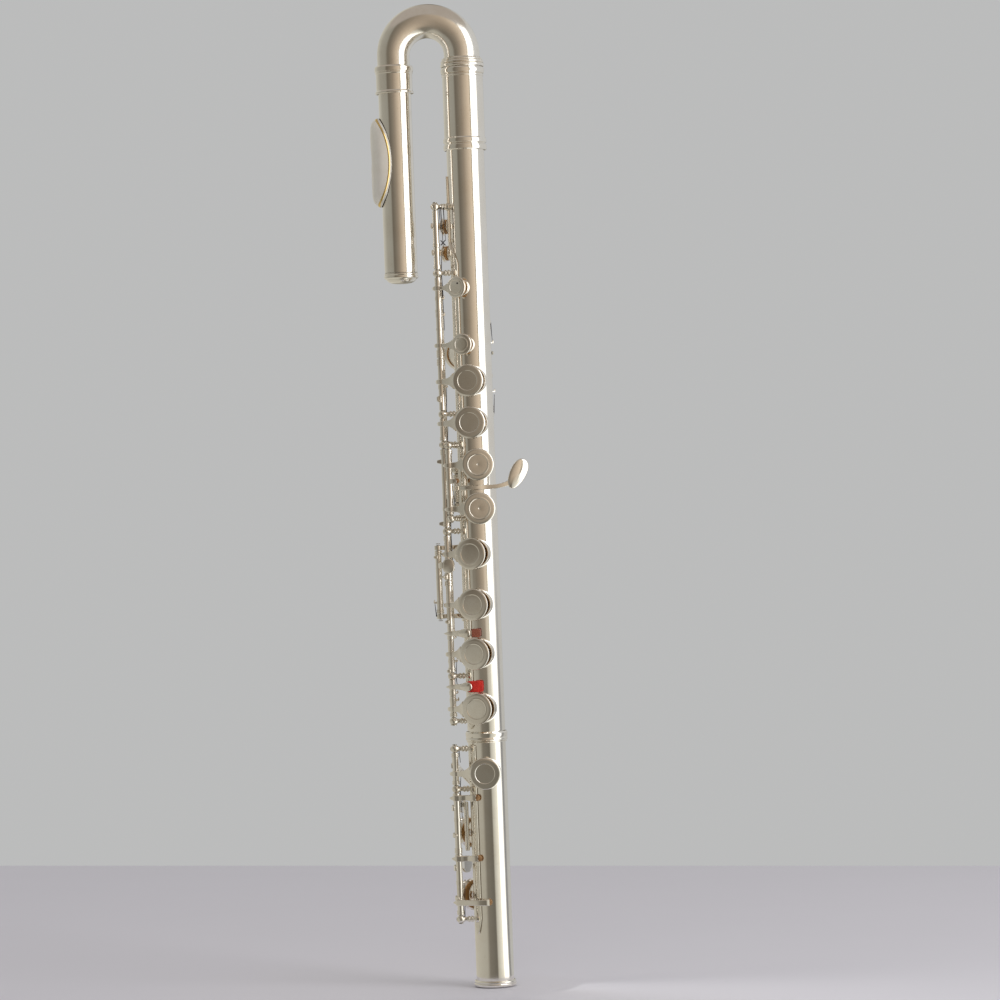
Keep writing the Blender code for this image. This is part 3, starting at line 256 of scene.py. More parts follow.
def plate(centre, longHalf, shortHalf, thickness, taper=0.0, dish=0.0, segments=56, blunt=1.0):
    # an oval or teardrop touch with a rolled edge and a slightly crowned or dished face
    normal = longHalf.cross(shortHalf).normalized()
    if normal.dot(centre.xy.to_3d()) < 0:
        normal = -normal
    half = thickness / 2
    rows = [(0.0, half + dish), (0.25, half + dish * 0.94), (0.5, half + dish * 0.75), (0.7, half + dish * 0.51),
        (0.88, half + dish * 0.2)]
    rows += [(0.95, half * 0.85), (0.99, half * 0.45), (1.0, 0), (0.985, -half * 0.5), (0.93, -half * 0.9),
        (0.7, -half), (0.0, -half)]
    rings = []
    for share, level in rows:
        ring = []
        for t in circle(segments):
            c, s = math.cos(t), math.sin(t)
            c, s = math.copysign(abs(c) ** blunt, c), math.copysign(abs(s) ** blunt, s)
            narrow = 1 - taper * (0.5 - 0.5 * c)
            flat = (longHalf * c + shortHalf * s * narrow) * max(share, 0.002)
            ring.append(centre + flat + normal * level)
        rings.append(ring)
    return shellOf(rings)


def swung(shells, rod, degrees):
    # turned about a rod, as a key stands when it's open
    matrix = Matrix.Translation(rod) @ Matrix.Rotation(math.radians(degrees), 4, "Z") @ Matrix.Translation(-rod)
    return [([matrix @ p for p in points], faces) for points, faces in shells]


def meshOf(shells, name):
    mesh = bpy.data.meshes.new(name)
    points, faces = [], []
    for shellPoints, shellFaces in shells:
        first = len(points)
        points += [p * mm for p in shellPoints]
        faces += [tuple(first + i for i in face) for face in shellFaces]
    mesh.from_pydata(points, [], faces)
    work = bmesh.new()
    work.from_mesh(mesh)
    bmesh.ops.recalc_face_normals(work, faces=work.faces)
    work.to_mesh(mesh)
    work.free()
    return mesh


def newObject(name, data):
    item = bpy.data.objects.new(name, data)
    bpy.context.scene.collection.objects.link(item)
    return item


def piece(name, shells, finish, body, nodes=(), sharp=42):
    mesh = shells if isinstance(shells, bpy.types.Mesh) else meshOf(shells, name)
    item = newObject(name, mesh)
    mesh.materials.clear()
    mesh.materials.append(finish)
    if not isinstance(shells, bpy.types.Mesh):
        mesh.shade_smooth()
        mesh.set_sharp_from_angle(angle=math.radians(sharp))
        weighted = item.modifiers.new("weightedNormals", "WEIGHTED_NORMAL")
        weighted.keep_sharp = True
    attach(item, body)
    if nodes:
        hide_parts(*nodes)
    return item


roundShare = 0.9  # how far a face has to look outward or inward to be shaded as the round tube


def drilled(shells, cutters, name, axis=Vector()):
    # a round tube less its holes, with its shading kept truly round
    base, tool = newObject(name, meshOf(shells, name)), newObject("tool", meshOf(cutters, "tool"))
    cut = base.modifiers.new("holes", "BOOLEAN")
    cut.operation, cut.object, cut.solver = "DIFFERENCE", tool, "EXACT"
    bpy.context.view_layer.update()
    graph = bpy.context.evaluated_depsgraph_get()
    mesh = bpy.data.meshes.new_from_object(base.evaluated_get(graph), depsgraph=graph)
    bpy.data.objects.remove(base)
    bpy.data.objects.remove(tool)
    mesh.shade_smooth()
    normals = []
    for polygon in mesh.polygons:
        for vertex in polygon.vertices:
            radial = mesh.vertices[vertex].co - axis * mm
            radial.z = 0
            radial.normalize()
            lean = polygon.normal.dot(radial)
            normals.append(radial if lean > roundShare else -radial if lean < -roundShare else polygon.normal)
    mesh.normals_split_custom_set([tuple(n) for n in normals])
    mesh.name = name
    return mesh


# Finishes. Each shared effect is a node group, and every finish sets its own values.

def newGroup(name, inputs, outputs):
    group = bpy.data.node_groups.new(name, "ShaderNodeTree")
    kinds = {True: "NodeSocketColor", False: "NodeSocketFloat"}
    for label, value in inputs.items():
        socket = group.interface.new_socket(label, in_out="INPUT", socket_type=kinds[isinstance(value, tuple)])
        socket.default_value = value
    for label in outputs:
        group.interface.new_socket(label, in_out="OUTPUT", socket_type=kinds[label == "Colour"])
    return group, group.nodes.new("NodeGroupInput"), group.nodes.new("NodeGroupOutput")


def addNode(tree, kind, **values):
    node = tree.nodes.new(kind)
    for key, value in values.items():
        setattr(node, key, value)
    return node


def mathNode(tree, operation, *inputs, clamp=False):
    node = addNode(tree, "ShaderNodeMath", operation=operation, use_clamp=clamp)
    for i, value in enumerate(inputs):
        if isinstance(value, (int, float)):
            node.inputs[i].default_value = value
        else:
            tree.links.new(value, node.inputs[i])
    return node.outputs[0]


def times(tree, first, second):
    return mathNode(tree, "MULTIPLY", first, second)


def plus(tree, first, second, clamp=False):
    return mathNode(tree, "ADD", first, second, clamp=clamp)


def noiseNode(tree, vector, scale, detail=3.0, roughness=0.55):
    node = addNode(tree, "ShaderNodeTexNoise")
    tree.links.new(vector, node.inputs["Vector"])
    node.inputs["Scale"].default_value = scale
    node.inputs["Detail"].default_value = detail
    node.inputs["Roughness"].default_value = roughness
    return node.outputs["Fac"]


def rampNode(tree, value, stops):
    node = addNode(tree, "ShaderNodeValToRGB")
    tree.links.new(value, node.inputs[0])
    ramp = node.color_ramp
    while len(ramp.elements) < len(stops):
        ramp.elements.new(0.5)
    for element, (place, level) in zip(ramp.elements, stops):
        element.position = place
        element.color = (level, level, level, 1)
    return node.outputs["Color"]


def mixColours(tree, share, first, second):
    node = addNode(tree, "ShaderNodeMix", data_type="RGBA")
    for place, value in ((0, share), (6, first), (7, second)):
        if hasattr(value, "links"):
            tree.links.new(value, node.inputs[place])
        else:
            node.inputs[place].default_value = (*value, 1)
    return node.outputs[2]


def sizedPlace(group, given):
    # object coordinates, as they are and times the group's Size
    place = addNode(group, "ShaderNodeTexCoord").outputs["Object"]
    sized = addNode(group, "ShaderNodeVectorMath", operation="SCALE")
    group.links.new(place, sized.inputs[0])
    group.links.new(given.outputs["Size"], sized.inputs["Scale"])
    return place, sized.outputs[0]


def polishedWear():
    # tarnish clouds, fine wiping lines and dulled patches, for every metal
    group, given, result = newGroup("polishedWear", {"Clean": (0.9, 0.88, 0.84, 1), "Tarnish": (0.5, 0.42, 0.3, 1),
        "Amount": 0.2, "Gloss": 0.1, "Dulling": 0.1, "Size": 60.0}, ["Colour", "Roughness", "Height"],)
    place, sized = sizedPlace(group, given)
    clouds = noiseNode(group, sized, 1.0, 5.0, 0.62)
    spots = noiseNode(group, sized, 6.5, 3.0, 0.6)
    stretched = addNode(group, "ShaderNodeMapping")
    group.links.new(place, stretched.inputs["Vector"])
    stretched.inputs["Scale"].default_value = (1.0, 1.0, 0.05)
    lines = noiseNode(group, stretched.outputs[0], 2600.0, 2.0, 0.5)
    cloudMask = rampNode(group, clouds, [(0.42, 0.0), (0.72, 1.0)])
    spotMask = rampNode(group, spots, [(0.56, 0.0), (0.72, 1.0)])
    both = plus(group, times(group, cloudMask, 0.75), times(group, spotMask, 0.35), clamp=True)
    share = times(group, both, given.outputs["Amount"])
    colour = mixColours(group, share, given.outputs["Clean"], given.outputs["Tarnish"])
    dull = times(group, plus(group, times(group, both, 0.7), times(group, lines, 0.5)), given.outputs["Dulling"])
    group.links.new(colour, result.inputs["Colour"])
    group.links.new(plus(group, dull, given.outputs["Gloss"]), result.inputs["Roughness"])
    group.links.new(plus(group, lines, times(group, spots, 0.4)), result.inputs["Height"])
    return group


def softGrain():
    # fibres or grains in two colours, for pads, felt and cork
    group, given, result = newGroup(
        "softGrain",
        {"Light": (0.6, 0.4, 0.2, 1), "Dark": (0.3, 0.2, 0.1, 1), "Size": 900.0, "Contrast": 0.5},
        ["Colour", "Height"],
    )
    sized = sizedPlace(group, given)[1]
    fine = noiseNode(group, sized, 1.0, 6.0, 0.65)
    broad = noiseNode(group, sized, 0.16, 3.0, 0.5)
    level = plus(group, times(group, fine, 0.6), times(group, broad, 0.4))
    spread = times(group, mathNode(group, "SUBTRACT", level, 0.5), times(group, given.outputs["Contrast"], 6.0))
    share = plus(group, spread, 0.5, clamp=True)
    group.links.new(mixColours(group, share, given.outputs["Light"], given.outputs["Dark"]), result.inputs["Colour"])
    group.links.new(level, result.inputs["Height"])
    return group


wearGroup, grainGroup = polishedWear(), softGrain()


def newMaterial(name):
    material = bpy.data.materials.new(name)
    material.use_nodes = True
    return material, material.node_tree, material.node_tree.nodes["Principled BSDF"]


def addBump(tree, shader, height, strength, distance):
    ripple = addNode(tree, "ShaderNodeBump")
    ripple.inputs["Strength"].default_value = strength
    ripple.inputs["Distance"].default_value = distance
    tree.links.new(height, ripple.inputs["Height"])
    tree.links.new(ripple.outputs[0], shader.inputs["Normal"])


def metal(name, clean, tarnish, amount, gloss, dulling, size, metallic=1.0):
    material, tree, shader = newMaterial(name)
    shader.inputs["Metallic"].default_value = metallic
    group = addNode(tree, "ShaderNodeGroup", node_tree=wearGroup)
    group.inputs["Clean"].default_value = (*clean, 1)
    group.inputs["Tarnish"].default_value = (*tarnish, 1)
    for label, value in (("Amount", amount), ("Gloss", gloss), ("Dulling", dulling), ("Size", size)):
        group.inputs[label].default_value = value
    tree.links.new(group.outputs["Colour"], shader.inputs["Base Color"])
    tree.links.new(group.outputs["Roughness"], shader.inputs["Roughness"])
    addBump(tree, shader, group.outputs["Height"], 0.05, 0.00003)
    return material


def softFinish(name, light, dark, size, contrast, roughness, bump, sheen=0.0, coat=0.0):
    material, tree, shader = newMaterial(name)
    for label, value in (("Roughness", roughness), ("Sheen Weight", sheen), ("Coat Weight", coat),
            ("Coat Roughness", 0.3)):
        shader.inputs[label].default_value = value
    group = addNode(tree, "ShaderNodeGroup", node_tree=grainGroup)
    group.inputs["Light"].default_value = (*light, 1)
    group.inputs["Dark"].default_value = (*dark, 1)
    group.inputs["Size"].default_value = size
    group.inputs["Contrast"].default_value = contrast
    tree.links.new(group.outputs["Colour"], shader.inputs["Base Color"])
    addBump(tree, shader, group.outputs["Height"], bump, 0.0002)
    return material


silverPlate = metal("silverPlate", (0.93, 0.90, 0.85), (0.62, 0.50, 0.34), 0.22, 0.055, 0.10, 70.0)
keyPlate = metal("keyPlate", (0.94, 0.91, 0.86), (0.60, 0.47, 0.30), 0.28, 0.06, 0.12, 110.0)
crookPlate = metal("crookPlate", (0.93, 0.90, 0.85), (0.62, 0.50, 0.34), 0.24, 0.15, 0.12, 70.0)
lipPlateSkin = metal("lipPlateSkin", (0.86, 0.84, 0.78), (0.62, 0.54, 0.40), 0.2, 0.30, 0.12, 110.0, metallic=0.5)
ribPlate = metal("ribPlate", (0.90, 0.87, 0.81), (0.48, 0.37, 0.23), 0.42, 0.08, 0.16, 130.0)
rodSteel = metal("rodSteel", (0.60, 0.59, 0.58), (0.28, 0.22, 0.16), 0.35, 0.18, 0.16, 150.0)
springSteel = metal("springSteel", (0.075, 0.078, 0.095), (0.16, 0.09, 0.05), 0.5, 0.22, 0.15, 300.0)
gildedRim = metal("gildedRim", (0.92, 0.70, 0.30), (0.62, 0.40, 0.14), 0.3, 0.10, 0.12, 160.0)
padSkin = softFinish("padSkin", (0.70, 0.40, 0.13), (0.34, 0.15, 0.04), 420.0, 0.35, 0.42, 0.25, coat=0.25)
redFelt = softFinish("redFelt", (0.78, 0.03, 0.012), (0.46, 0.012, 0.008), 2600.0, 0.5, 0.95, 0.8, sheen=0.12)
brownFelt = softFinish("brownFelt", (0.36, 0.10, 0.05), (0.18, 0.045, 0.02), 2600.0, 0.5, 0.95, 0.8, sheen=0.4)
cork = softFinish("cork", (0.50, 0.30, 0.14), (0.20, 0.09, 0.03), 1500.0, 0.8, 0.85, 0.6)
print("finishes ready")


# Tubes

chimneyMesh = {"segments": 72, "bend": 7}


def chimney(hole, tube):
    # a drawn tone hole: a fillet that grows out of the tube, a wall and a rolled rim
    settings = chimneyMesh
    size, angle, height = hole
    place = facing(angle, height)
    wall, rim, bore = size["hole"] + size["wall"], size["rim"], size["hole"]
    columns = []
    for phi in circle(settings["segments"]):
        skin = lambda r: math.sqrt(max(tube ** 2 - (r * math.sin(phi)) ** 2, 0.01))
        foot = wall + size["fillet"]
        start = Vector((foot, skin(foot) - 0.03))
        slope = Vector((-1, foot * math.sin(phi) ** 2 / skin(foot))).normalized()
        top = min(skin(wall) + 0.9 * size["fillet"], rim - 0.7)
        end = Vector((wall, top))
        reach = (end - start).length * 0.55
        one, two = start + slope * reach, end - Vector((0, reach))
        line = []
        for k in range(settings["bend"] + 1):
            t = k / settings["bend"]
            line.append(start * (1 - t) ** 3 + one * 3 * t * (1 - t) ** 2 + two * 3 * t * t * (1 - t) + end * t ** 3)
        line += [Vector(p) for p in ((wall, rim - 0.62), (wall + 0.16, rim - 0.5), (wall + 0.24, rim - 0.32),
            (wall + 0.2, rim - 0.12), (wall + 0.05, rim - 0.01), (wall - 0.2, rim), (bore + 0.03, rim - 0.06),
            (bore, rim - 0.25), (bore, skin(bore) - 0.9))]
        columns.append([place @ Vector((p.x * math.cos(phi), p.x * math.sin(phi), p.y)) for p in line])
    return shellOf([[column[k] for column in columns] for k in range(len(columns[0]))], closeRows=True)


def holeTools(holes):
    return [drum(h[0]["hole"] + 0.2, 3, 13, facing(h[1], h[2]), 48, 0) for h in holes]


mainTube = {"radius": 9.9, "wall": 0.4, "bottom": 134.25, "top": 446, "tenonBottom": 120, "tenonRadius": 9.2}
footTube = {"radius": 9.9, "wall": 0.4, "top": 133.9, "ringBottom": 129.2, "ringRadius": 11.0}


def buildTubes():
    m = mainTube
    inner = m["radius"] - m["wall"]
    skin = turned([(m["radius"], m["bottom"]), (m["radius"], m["top"]), (inner, m["top"]), (inner, m["bottom"])],
        segments=128, soft=0)
    holes = list(bodyHoles.values())
    piece("mainTube", drilled([skin], holeTools(holes), "mainTube"), silverPlate, "body", ["body_tube"])
    piece("mainToneHoles", [chimney(h, m["radius"]) for h in holes], silverPlate, "body")
    t = m["tenonRadius"]
    tenon = turned([(t, m["tenonBottom"]), (t, m["bottom"] + 0.1), (t - 0.4, m["bottom"] + 0.1),
        (t - 0.4, m["tenonBottom"])], segments=96)
    piece("footTenon", [tenon], silverPlate, "body")
    f = footTube
    inner = f["radius"] - f["wall"]
    skin = turned([(f["radius"], 0.02), (f["radius"], f["top"] - 0.3), (inner, f["top"] - 0.3), (inner, 0.02)],
        segments=128, soft=0)
    holes = list(footHoles.values())
    piece("footTube", drilled([skin], holeTools(holes), "footTube"), silverPlate, "foot", ["foot_tube"])
    piece("footToneHoles", [chimney(h, f["radius"]) for h in holes], silverPlate, "foot")
    r, low, high = f["ringRadius"], f["ringBottom"], f["top"]
    ring = [(9.6, low - 1.0), (10.35, low - 1.0), (10.65, low - 0.75), (10.35, low - 0.45), (10.1, low - 0.3),
        (10.1, low)]
    ring += [(r - 0.35, low), (r, low + 0.5), (r - 0.12, low + 1.2), (r - 0.3, low + 1.6), (r - 0.12, low + 2.0),
        (r, low + 2.6), (r, high - 0.8), (r - 0.4, high), (9.6, high)]
    piece("socketRing", [turned(ring, segments=96)], silverPlate, "foot")
    end = [(10.0, 0), (10.9, 0), (11.15, 0.5), (11.15, 1.3), (10.8, 1.75), (11.0, 2.1), (10.9, 2.8), (10.45, 3.1),
        (9.95, 3.2)]
    piece("footEndRing", [turned(end, segments=96)], silverPlate, "foot", ["foot_end_ring"])
    b = 440.0
    barrel = [(10.2, b - 0.6), (10.75, b - 0.6), (11.3, b - 0.15), (11.4, b + 1.0), (11.2, b + 2.3), (10.45, b + 2.7),
        (10.45, b + 3.0), (11.25, b + 3.4), (11.4, b + 4.3), (11.2, b + 5.6), (10.75, b + 6.1), (10.7, b + 7),
        (10.7, 478.0), (10.5, 478.2), (11.0, 478.5), (11.1, 478.9), (11.0, 479.3), (10.35, 479.6), (11.2, 479.9),
        (11.45, 480.7), (11.45, 481.9), (11.2, 482.7), (10.95, 483.0), (10.2, 483.0)]
    piece("barrel", [turned(barrel, segments=96, soft=0.2)], silverPlate, "body", ["barrel"])
    print("tubes ready")


crookShape = {"radius": 18.0, "height": 490.2, "startRadius": 9.4, "endRadius": 8.5, "wall": 0.45, "steps": 56,
    "segments": 72}


def buildHead():
    c = crookShape
    centre = Vector((-c["radius"], 0, c["height"]))
    stations = [(Vector((0, 0, 448)), 90, 9.85), (Vector((0, 0, 487.5)), 90, 9.85),
        (Vector((0, 0, 488.0)), 90, c["startRadius"])]
    for i in range(c["steps"] + 1):
        t = math.pi * i / c["steps"]
        radius = c["startRadius"] + (c["endRadius"] - c["startRadius"]) * i / c["steps"]
        stations.append((centre + Vector((math.cos(t), 0, math.sin(t))) * c["radius"], 90 + math.degrees(t), radius))
    stations += [(headAxis + up * 484, 270, c["endRadius"]), (headAxis + up * 477.3, 270, c["endRadius"])]
    outer, inner = [], []
    for place, heading, radius in stations:
        run = math.radians(heading)
        side = Vector((math.sin(run), 0, -math.cos(run)))
        for rings, r in ((outer, radius), (inner, radius - c["wall"])):
            rings.append([place + side * (r * math.cos(t)) + Vector((0, r * math.sin(t), 0))
                for t in circle(c["segments"])])
    ferrule = [(9.7, 483.35), (11.15, 483.35), (11.5, 483.7), (11.5, 484.6), (11.15, 485.0), (10.4, 485.25),
        (11.15, 485.5), (11.3, 486.0), (11.1, 486.5), (10.25, 486.8), (10.7, 487.1), (10.5, 487.7), (9.9, 488.1),
        (9.3, 488.4)]
    piece("crook", [shellOf(outer + inner[::-1], closeRows=True), turned(ferrule, segments=96)], crookPlate, "crook",
        ["crook"])
    s = {"bottom": 470.4, "top": 485.2, "inside": 8.9, "wall": 9.5, "ring": 10.1}
    low, high, wall, ring = s["bottom"], s["top"], s["wall"], s["ring"]
    sleeve = [(s["inside"], low), (9.75, low), (ring, low + 0.35), (ring, low + 1.0), (9.75, low + 1.3),
        (wall, low + 1.7)]
    sleeve += [(wall, high - 4.6), (9.7, high - 4.3), (9.95, high - 4.0), (9.7, high - 3.7), (9.62, high - 3.4)]
    sleeve += [(ring, high - 3.1), (ring + 0.08, high - 2.3), (ring, high - 0.9), (9.6, high - 0.25), (9.1, high)]
    sleeve.append((s["inside"], high))
    piece("sleeve", [turned(sleeve, standing(headAxis), 88, 0.16)], silverPlate, "crook", ["sleeve"])
    tube = turned([(8.6, 376.4), (8.6, 476.8), (8.2, 476.8), (8.2, 376.4)], standing(headAxis), 128, 0)
    tool = shellOf([[headAxis + Vector((x, 5.0 * math.cos(t), 436 + 6.0 * math.sin(t))) for t in circle(48)]
        for x in (-11, -3)])
    piece("embouchureTube", drilled([tube], [tool], "embouchureTube", headAxis), silverPlate, "mouthpiece",
        ["embouchure_tube"])
    crown = [(0, 370.6), (3.2, 370.62), (5.2, 370.9), (6.6, 371.5), (7.6, 372.4), (8.0, 373.0), (8.35, 373.2),
        (8.95, 373.5), (9.05, 374.0), (8.95, 374.5), (8.65, 374.7), (8.75, 374.95), (8.95, 375.3), (8.9, 375.8),
        (8.5, 376.1), (7.9, 376.1), (7.9, 381), (1.9, 381), (1.9, 377), (0, 377)]
    piece("crown", [turned(crown, standing(headAxis), 80, 0.1)], keyPlate, "crown", ["crown"])
    screw = [(0, 377.6), (1.6, 377.6), (1.6, 400.3), (7.9, 400.3), (7.9, 401.4), (1.6, 401.4), (1.6, 417.8),
        (7.9, 417.8), (7.9, 419), (0, 419)]
    piece("stopperScrew", [turned(screw, standing(headAxis), 48)], silverPlate, "mouthpiece", ["stopper_screw"])
    stopper = [(1.7, 401.7), (7.9, 401.7), (8.0, 403), (7.9, 404.4), (8.05, 409), (7.9, 416), (7.85, 417.5),
        (1.7, 417.5)]
    piece("stopperCork", [turned(stopper, standing(headAxis), 48)], cork, "mouthpiece", ["stopper_cork"])
    buildLipPlate()
    print("head ready")


lipShape = {"middle": 434.5, "halfLength": 23.5, "halfWrap": 12.4, "crest": 4.1, "edge": 0.6, "thickness": 0.9,
    "holeHeight": 436.0, "holeLong": 6.0, "holeWide": 5.0, "rimSink": 0.32}


def lipPoint(across, height, sink=0.0):
    s = lipShape
    rim = 8.9 + s["edge"]
    share = min(1.0, (across / s["halfWrap"]) ** 2 + (height / s["halfLength"]) ** 2)
    long = min(1.0, abs(height) / s["halfLength"])
    wrap = min(1.0, abs(across) / (s["halfWrap"] * math.sqrt(max(1 - long ** 2, 0.0004))))
    radius = rim + s["crest"] * (1 - share) ** 0.8
    blend = min(1.0, max(0.0, (share - 0.3) / 0.5))
    blend = blend * blend * (3 - 2 * blend)
    turn = across / (radius + (0.5 * rim + 0.25 - 0.5 * radius) * blend)
    top = rim + s["crest"] * (1 - long ** 12)
    side = rim * math.cos(s["halfWrap"] * math.sqrt(max(1 - long ** 2, 0.0)) / (rim + 0.25))
    face = Vector((side + (top - side) * (1 - wrap ** 3.5) ** 0.75, radius * math.sin(turn)))
    face *= max(8.65, face.length - sink) / face.length
    return headAxis + Vector((-face.x, face.y, s["middle"] + height))


def onRim(share, t):
    s = lipShape
    return lipPoint(s["halfWrap"] * share * math.cos(t), s["halfLength"] * share * math.sin(t), s["rimSink"])


def buildLipPlate():
    s = lipShape
    count = 96
    offset = s["holeHeight"] - s["middle"]
    rows = []
    # from the foot of the riser up through the hole, over the face, round the edge and back underneath
    for drop in (3.6, 2.6, 1.7, 0.9, 0.4):
        rows.append((0.0, drop))
    rows += [(0.015, 0.12), (0.04, 0.0)] + [(k / 20, 0.0) for k in range(2, 20)] + [(0.975, 0.03), (0.992, 0.12),
        (1.0, 0.28), (1.0, 0.5), (0.99, 0.7)]
    rows += [(k / 10, s["thickness"]) for k in (9, 8, 7, 6, 5, 4, 3)]
    rings = []
    for share, sink in rows:
        ring = []
        for t in circle(count):
            hole = Vector((s["holeWide"] * math.cos(t), s["holeLong"] * math.sin(t) + offset))
            edge = Vector((s["halfWrap"] * math.cos(t), s["halfLength"] * math.sin(t)))
            at = hole + (edge - hole) * share
            ring.append(lipPoint(at.x, at.y, sink))
        rings.append(ring)
    for grow, reach in ((1.1, 2.0), (1.1, 0.0), (0.0, 0.0)):
        ring = []
        for t in circle(count):
            y, z = (s["holeWide"] + grow) * math.cos(t), (s["holeLong"] + grow) * math.sin(t)
            ring.append(headAxis + Vector((-math.sqrt(8.6 ** 2 - y * y) - reach, y, s["holeHeight"] + z)))
        rings.append(ring)
    piece("lipPlate", [shellOf(rings, closeRows=True)], lipPlateSkin, "mouthpiece", ["lip_plate"])
    bead = []
    for t in circle(count):
        centre = onRim(0.985, t)
        out = centre - headAxis
        out.z = 0
        out.normalize()
        side = (onRim(1, t) - onRim(0.93, t)).normalized()
        bead.append([centre + side * (0.55 * math.cos(a)) + out * (0.5 * math.sin(a)) for a in circle(10)])
    piece("lipPlateRim", [shellOf(bead, closeRows=True)], gildedRim, "mouthpiece")


# Straps, posts and steels

strapShape = {"inside": 9.85, "outside": 10.85, "bevel": 1.3}


def strap(stations):
    # stations are (height, low angle, high angle)
    rings = []
    inside, high = strapShape["inside"], strapShape["outside"]
    for height, low, top in stations:
        line = []
        bevel = min(strapShape["bevel"], 0.24 * abs(top - low))
        for a, r in ((low, inside), (low, high - 0.35), (low + 0.35 * bevel, high - 0.1), (low + bevel, high)):
            line.append(around(a, r, height))
        for k in range(1, 6):
            line.append(around(low + bevel + (top - low - 2 * bevel) * k / 6, high, height))
        for a, r in ((top - bevel, high), (top - 0.35 * bevel, high - 0.1), (top, high - 0.35), (top, inside)):
            line.append(around(a, r, height))
        rings.append(line)
    return shellOf(rings)


strapClear = {"radius": 10.4, "room": 0.45}


def clearOf(holes, height, low):
    # the lowest angle that keeps a strap off the tone holes at a height
    radius = strapClear["radius"]
    for size, angle, z in holes:
        reach = size["hole"] + size["wall"] + strapClear["room"]
        rise = abs(height - z)
        if rise < reach and abs(angle - low) < 80:
            low = max(low, angle + math.degrees(math.asin(min(1, math.sqrt(reach ** 2 - rise ** 2) / radius))))
    return low


def longStrap(bottom, top, low, high, holes, turn=None, tipBottom=4.5, tipTop=11.0):
    heights = [bottom + (top - bottom) * k / 260 for k in range(261)]
    stations = []
    for z in heights:
        a, b = low, high
        if turn:
            t = min(1, max(0, (z - turn["from"]) / (turn["to"] - turn["from"])))
            t = t * t * (3 - 2 * t)
            a, b = low + (turn["low"] - low) * t, high + (turn["high"] - high) * t
        a = min(clearOf(holes, z, a), b - 3.0)
        for end, length in ((bottom, tipBottom), (top, tipTop)):
            near = abs(z - end)
            if near < length:
                share = math.sqrt(max(0.02,
                    1 - (1 - near / length) ** 2)) if length < 6 else 0.12 + 0.88 * (near / length) ** 0.6
                middle = (a + b) / 2
                a, b = middle - (middle - a) * share, middle + (b - middle) * share
        stations.append((z, a, b))
    return strap(stations)


def slottedHead(place, radius, height, slot):
    # a screw head: a low drum with a slot across it
    shells = [drum(radius, 0, height * 0.45, place, 32, 0.06)]
    for side in (1, -1):
        rings = []
        for z, shrink in ((height * 0.4, 0), (height * 0.85, 0), (height, 0.1)):
            r = radius - shrink
            edge = math.asin(slot / 2 / r)
            arc = [edge + (math.pi - 2 * edge) * k / 14 for k in range(15)]
            rings.append([place @ Vector((r * math.cos(t), side * r * math.sin(t), z)) for t in arc])
        shells.append(shellOf(rings))
    return shells


postShape = {"base": 10.75, "ball": 2.2, "neck": 1.95, "screwTurn": 35}


def post(footAngle, rod, height, slotOut=True):
    start = around(footAngle, postShape["base"], height)
    reach = rod + up * height - start
    distance = reach.length
    place = along(start, reach)
    ball, neck = postShape["ball"], distance - postShape["neck"]
    profile = [(0, -1.2), (2.1, -1.2), (2.1, 0.1), (1.9, 0.55), (1.35, 0.9), (1.15, 1.3)]
    if neck > 4.4:
        for centre, r in ((0.38 * neck, 1.7), (0.64 * neck, 1.6)):
            profile += [(1.12, centre - 0.75), (r - 0.1, centre - 0.4), (r, centre), (r - 0.1, centre + 0.4),
                (1.1, centre + 0.75)]
        profile.append((1.15, neck - 0.5))
    elif neck > 2.4:
        profile += [(1.12, 0.5 * neck), (1.5, 0.62 * neck), (1.12, 0.78 * neck)]
    profile.append((1.3, neck))
    for k in range(1, 13):
        lift = math.radians(-52 + 142 * k / 12)
        profile.append((max(ball * math.cos(lift), 0), distance + ball * math.sin(lift)))
    profile[-1] = (0, distance + ball)
    shells = [turned(profile, place, 40, 0.1, 2)]
    if slotOut:
        head = Matrix.Translation((0, 0, distance
            + ball - 0.28)) @ Matrix.Rotation(math.radians(postShape["screwTurn"]), 4, "Z")
        shells += slottedHead(place @ head, 0.95, 0.34, 0.32)
    return shells


def collar(rod, low, high, radius=1.95, grooves=1):
    profile = [(1.55, low), (radius, low)]
    for k in range(1, grooves + 1):
        z = low + (high - low) * k / (grooves + 1)
        profile += [(radius, z - 0.16), (radius - 0.22, z), (radius, z + 0.16)]
    profile += [(radius, high), (1.55, high)]
    return turned(profile, standing(rod), 40, 0.08, 2)


needleShape = {"thick": 0.27, "thin": 0.12, "bow": -0.25, "splay": 0.65}


def needle(start, end):
    thick, thin = needleShape["thick"], needleShape["thin"]
    middle = start.lerp(end, 0.5) + Vector((0, needleShape["bow"], 0))
    return wire([start, middle, end], [thick, (thick + thin) / 2, thin], 6, 10)


ribShape = {"angles": (36, 64), "footAngle": 52, "bottom": 135.5, "top": 426,
    "turn": {"from": 379, "to": 394, "low": 74, "high": 88}}


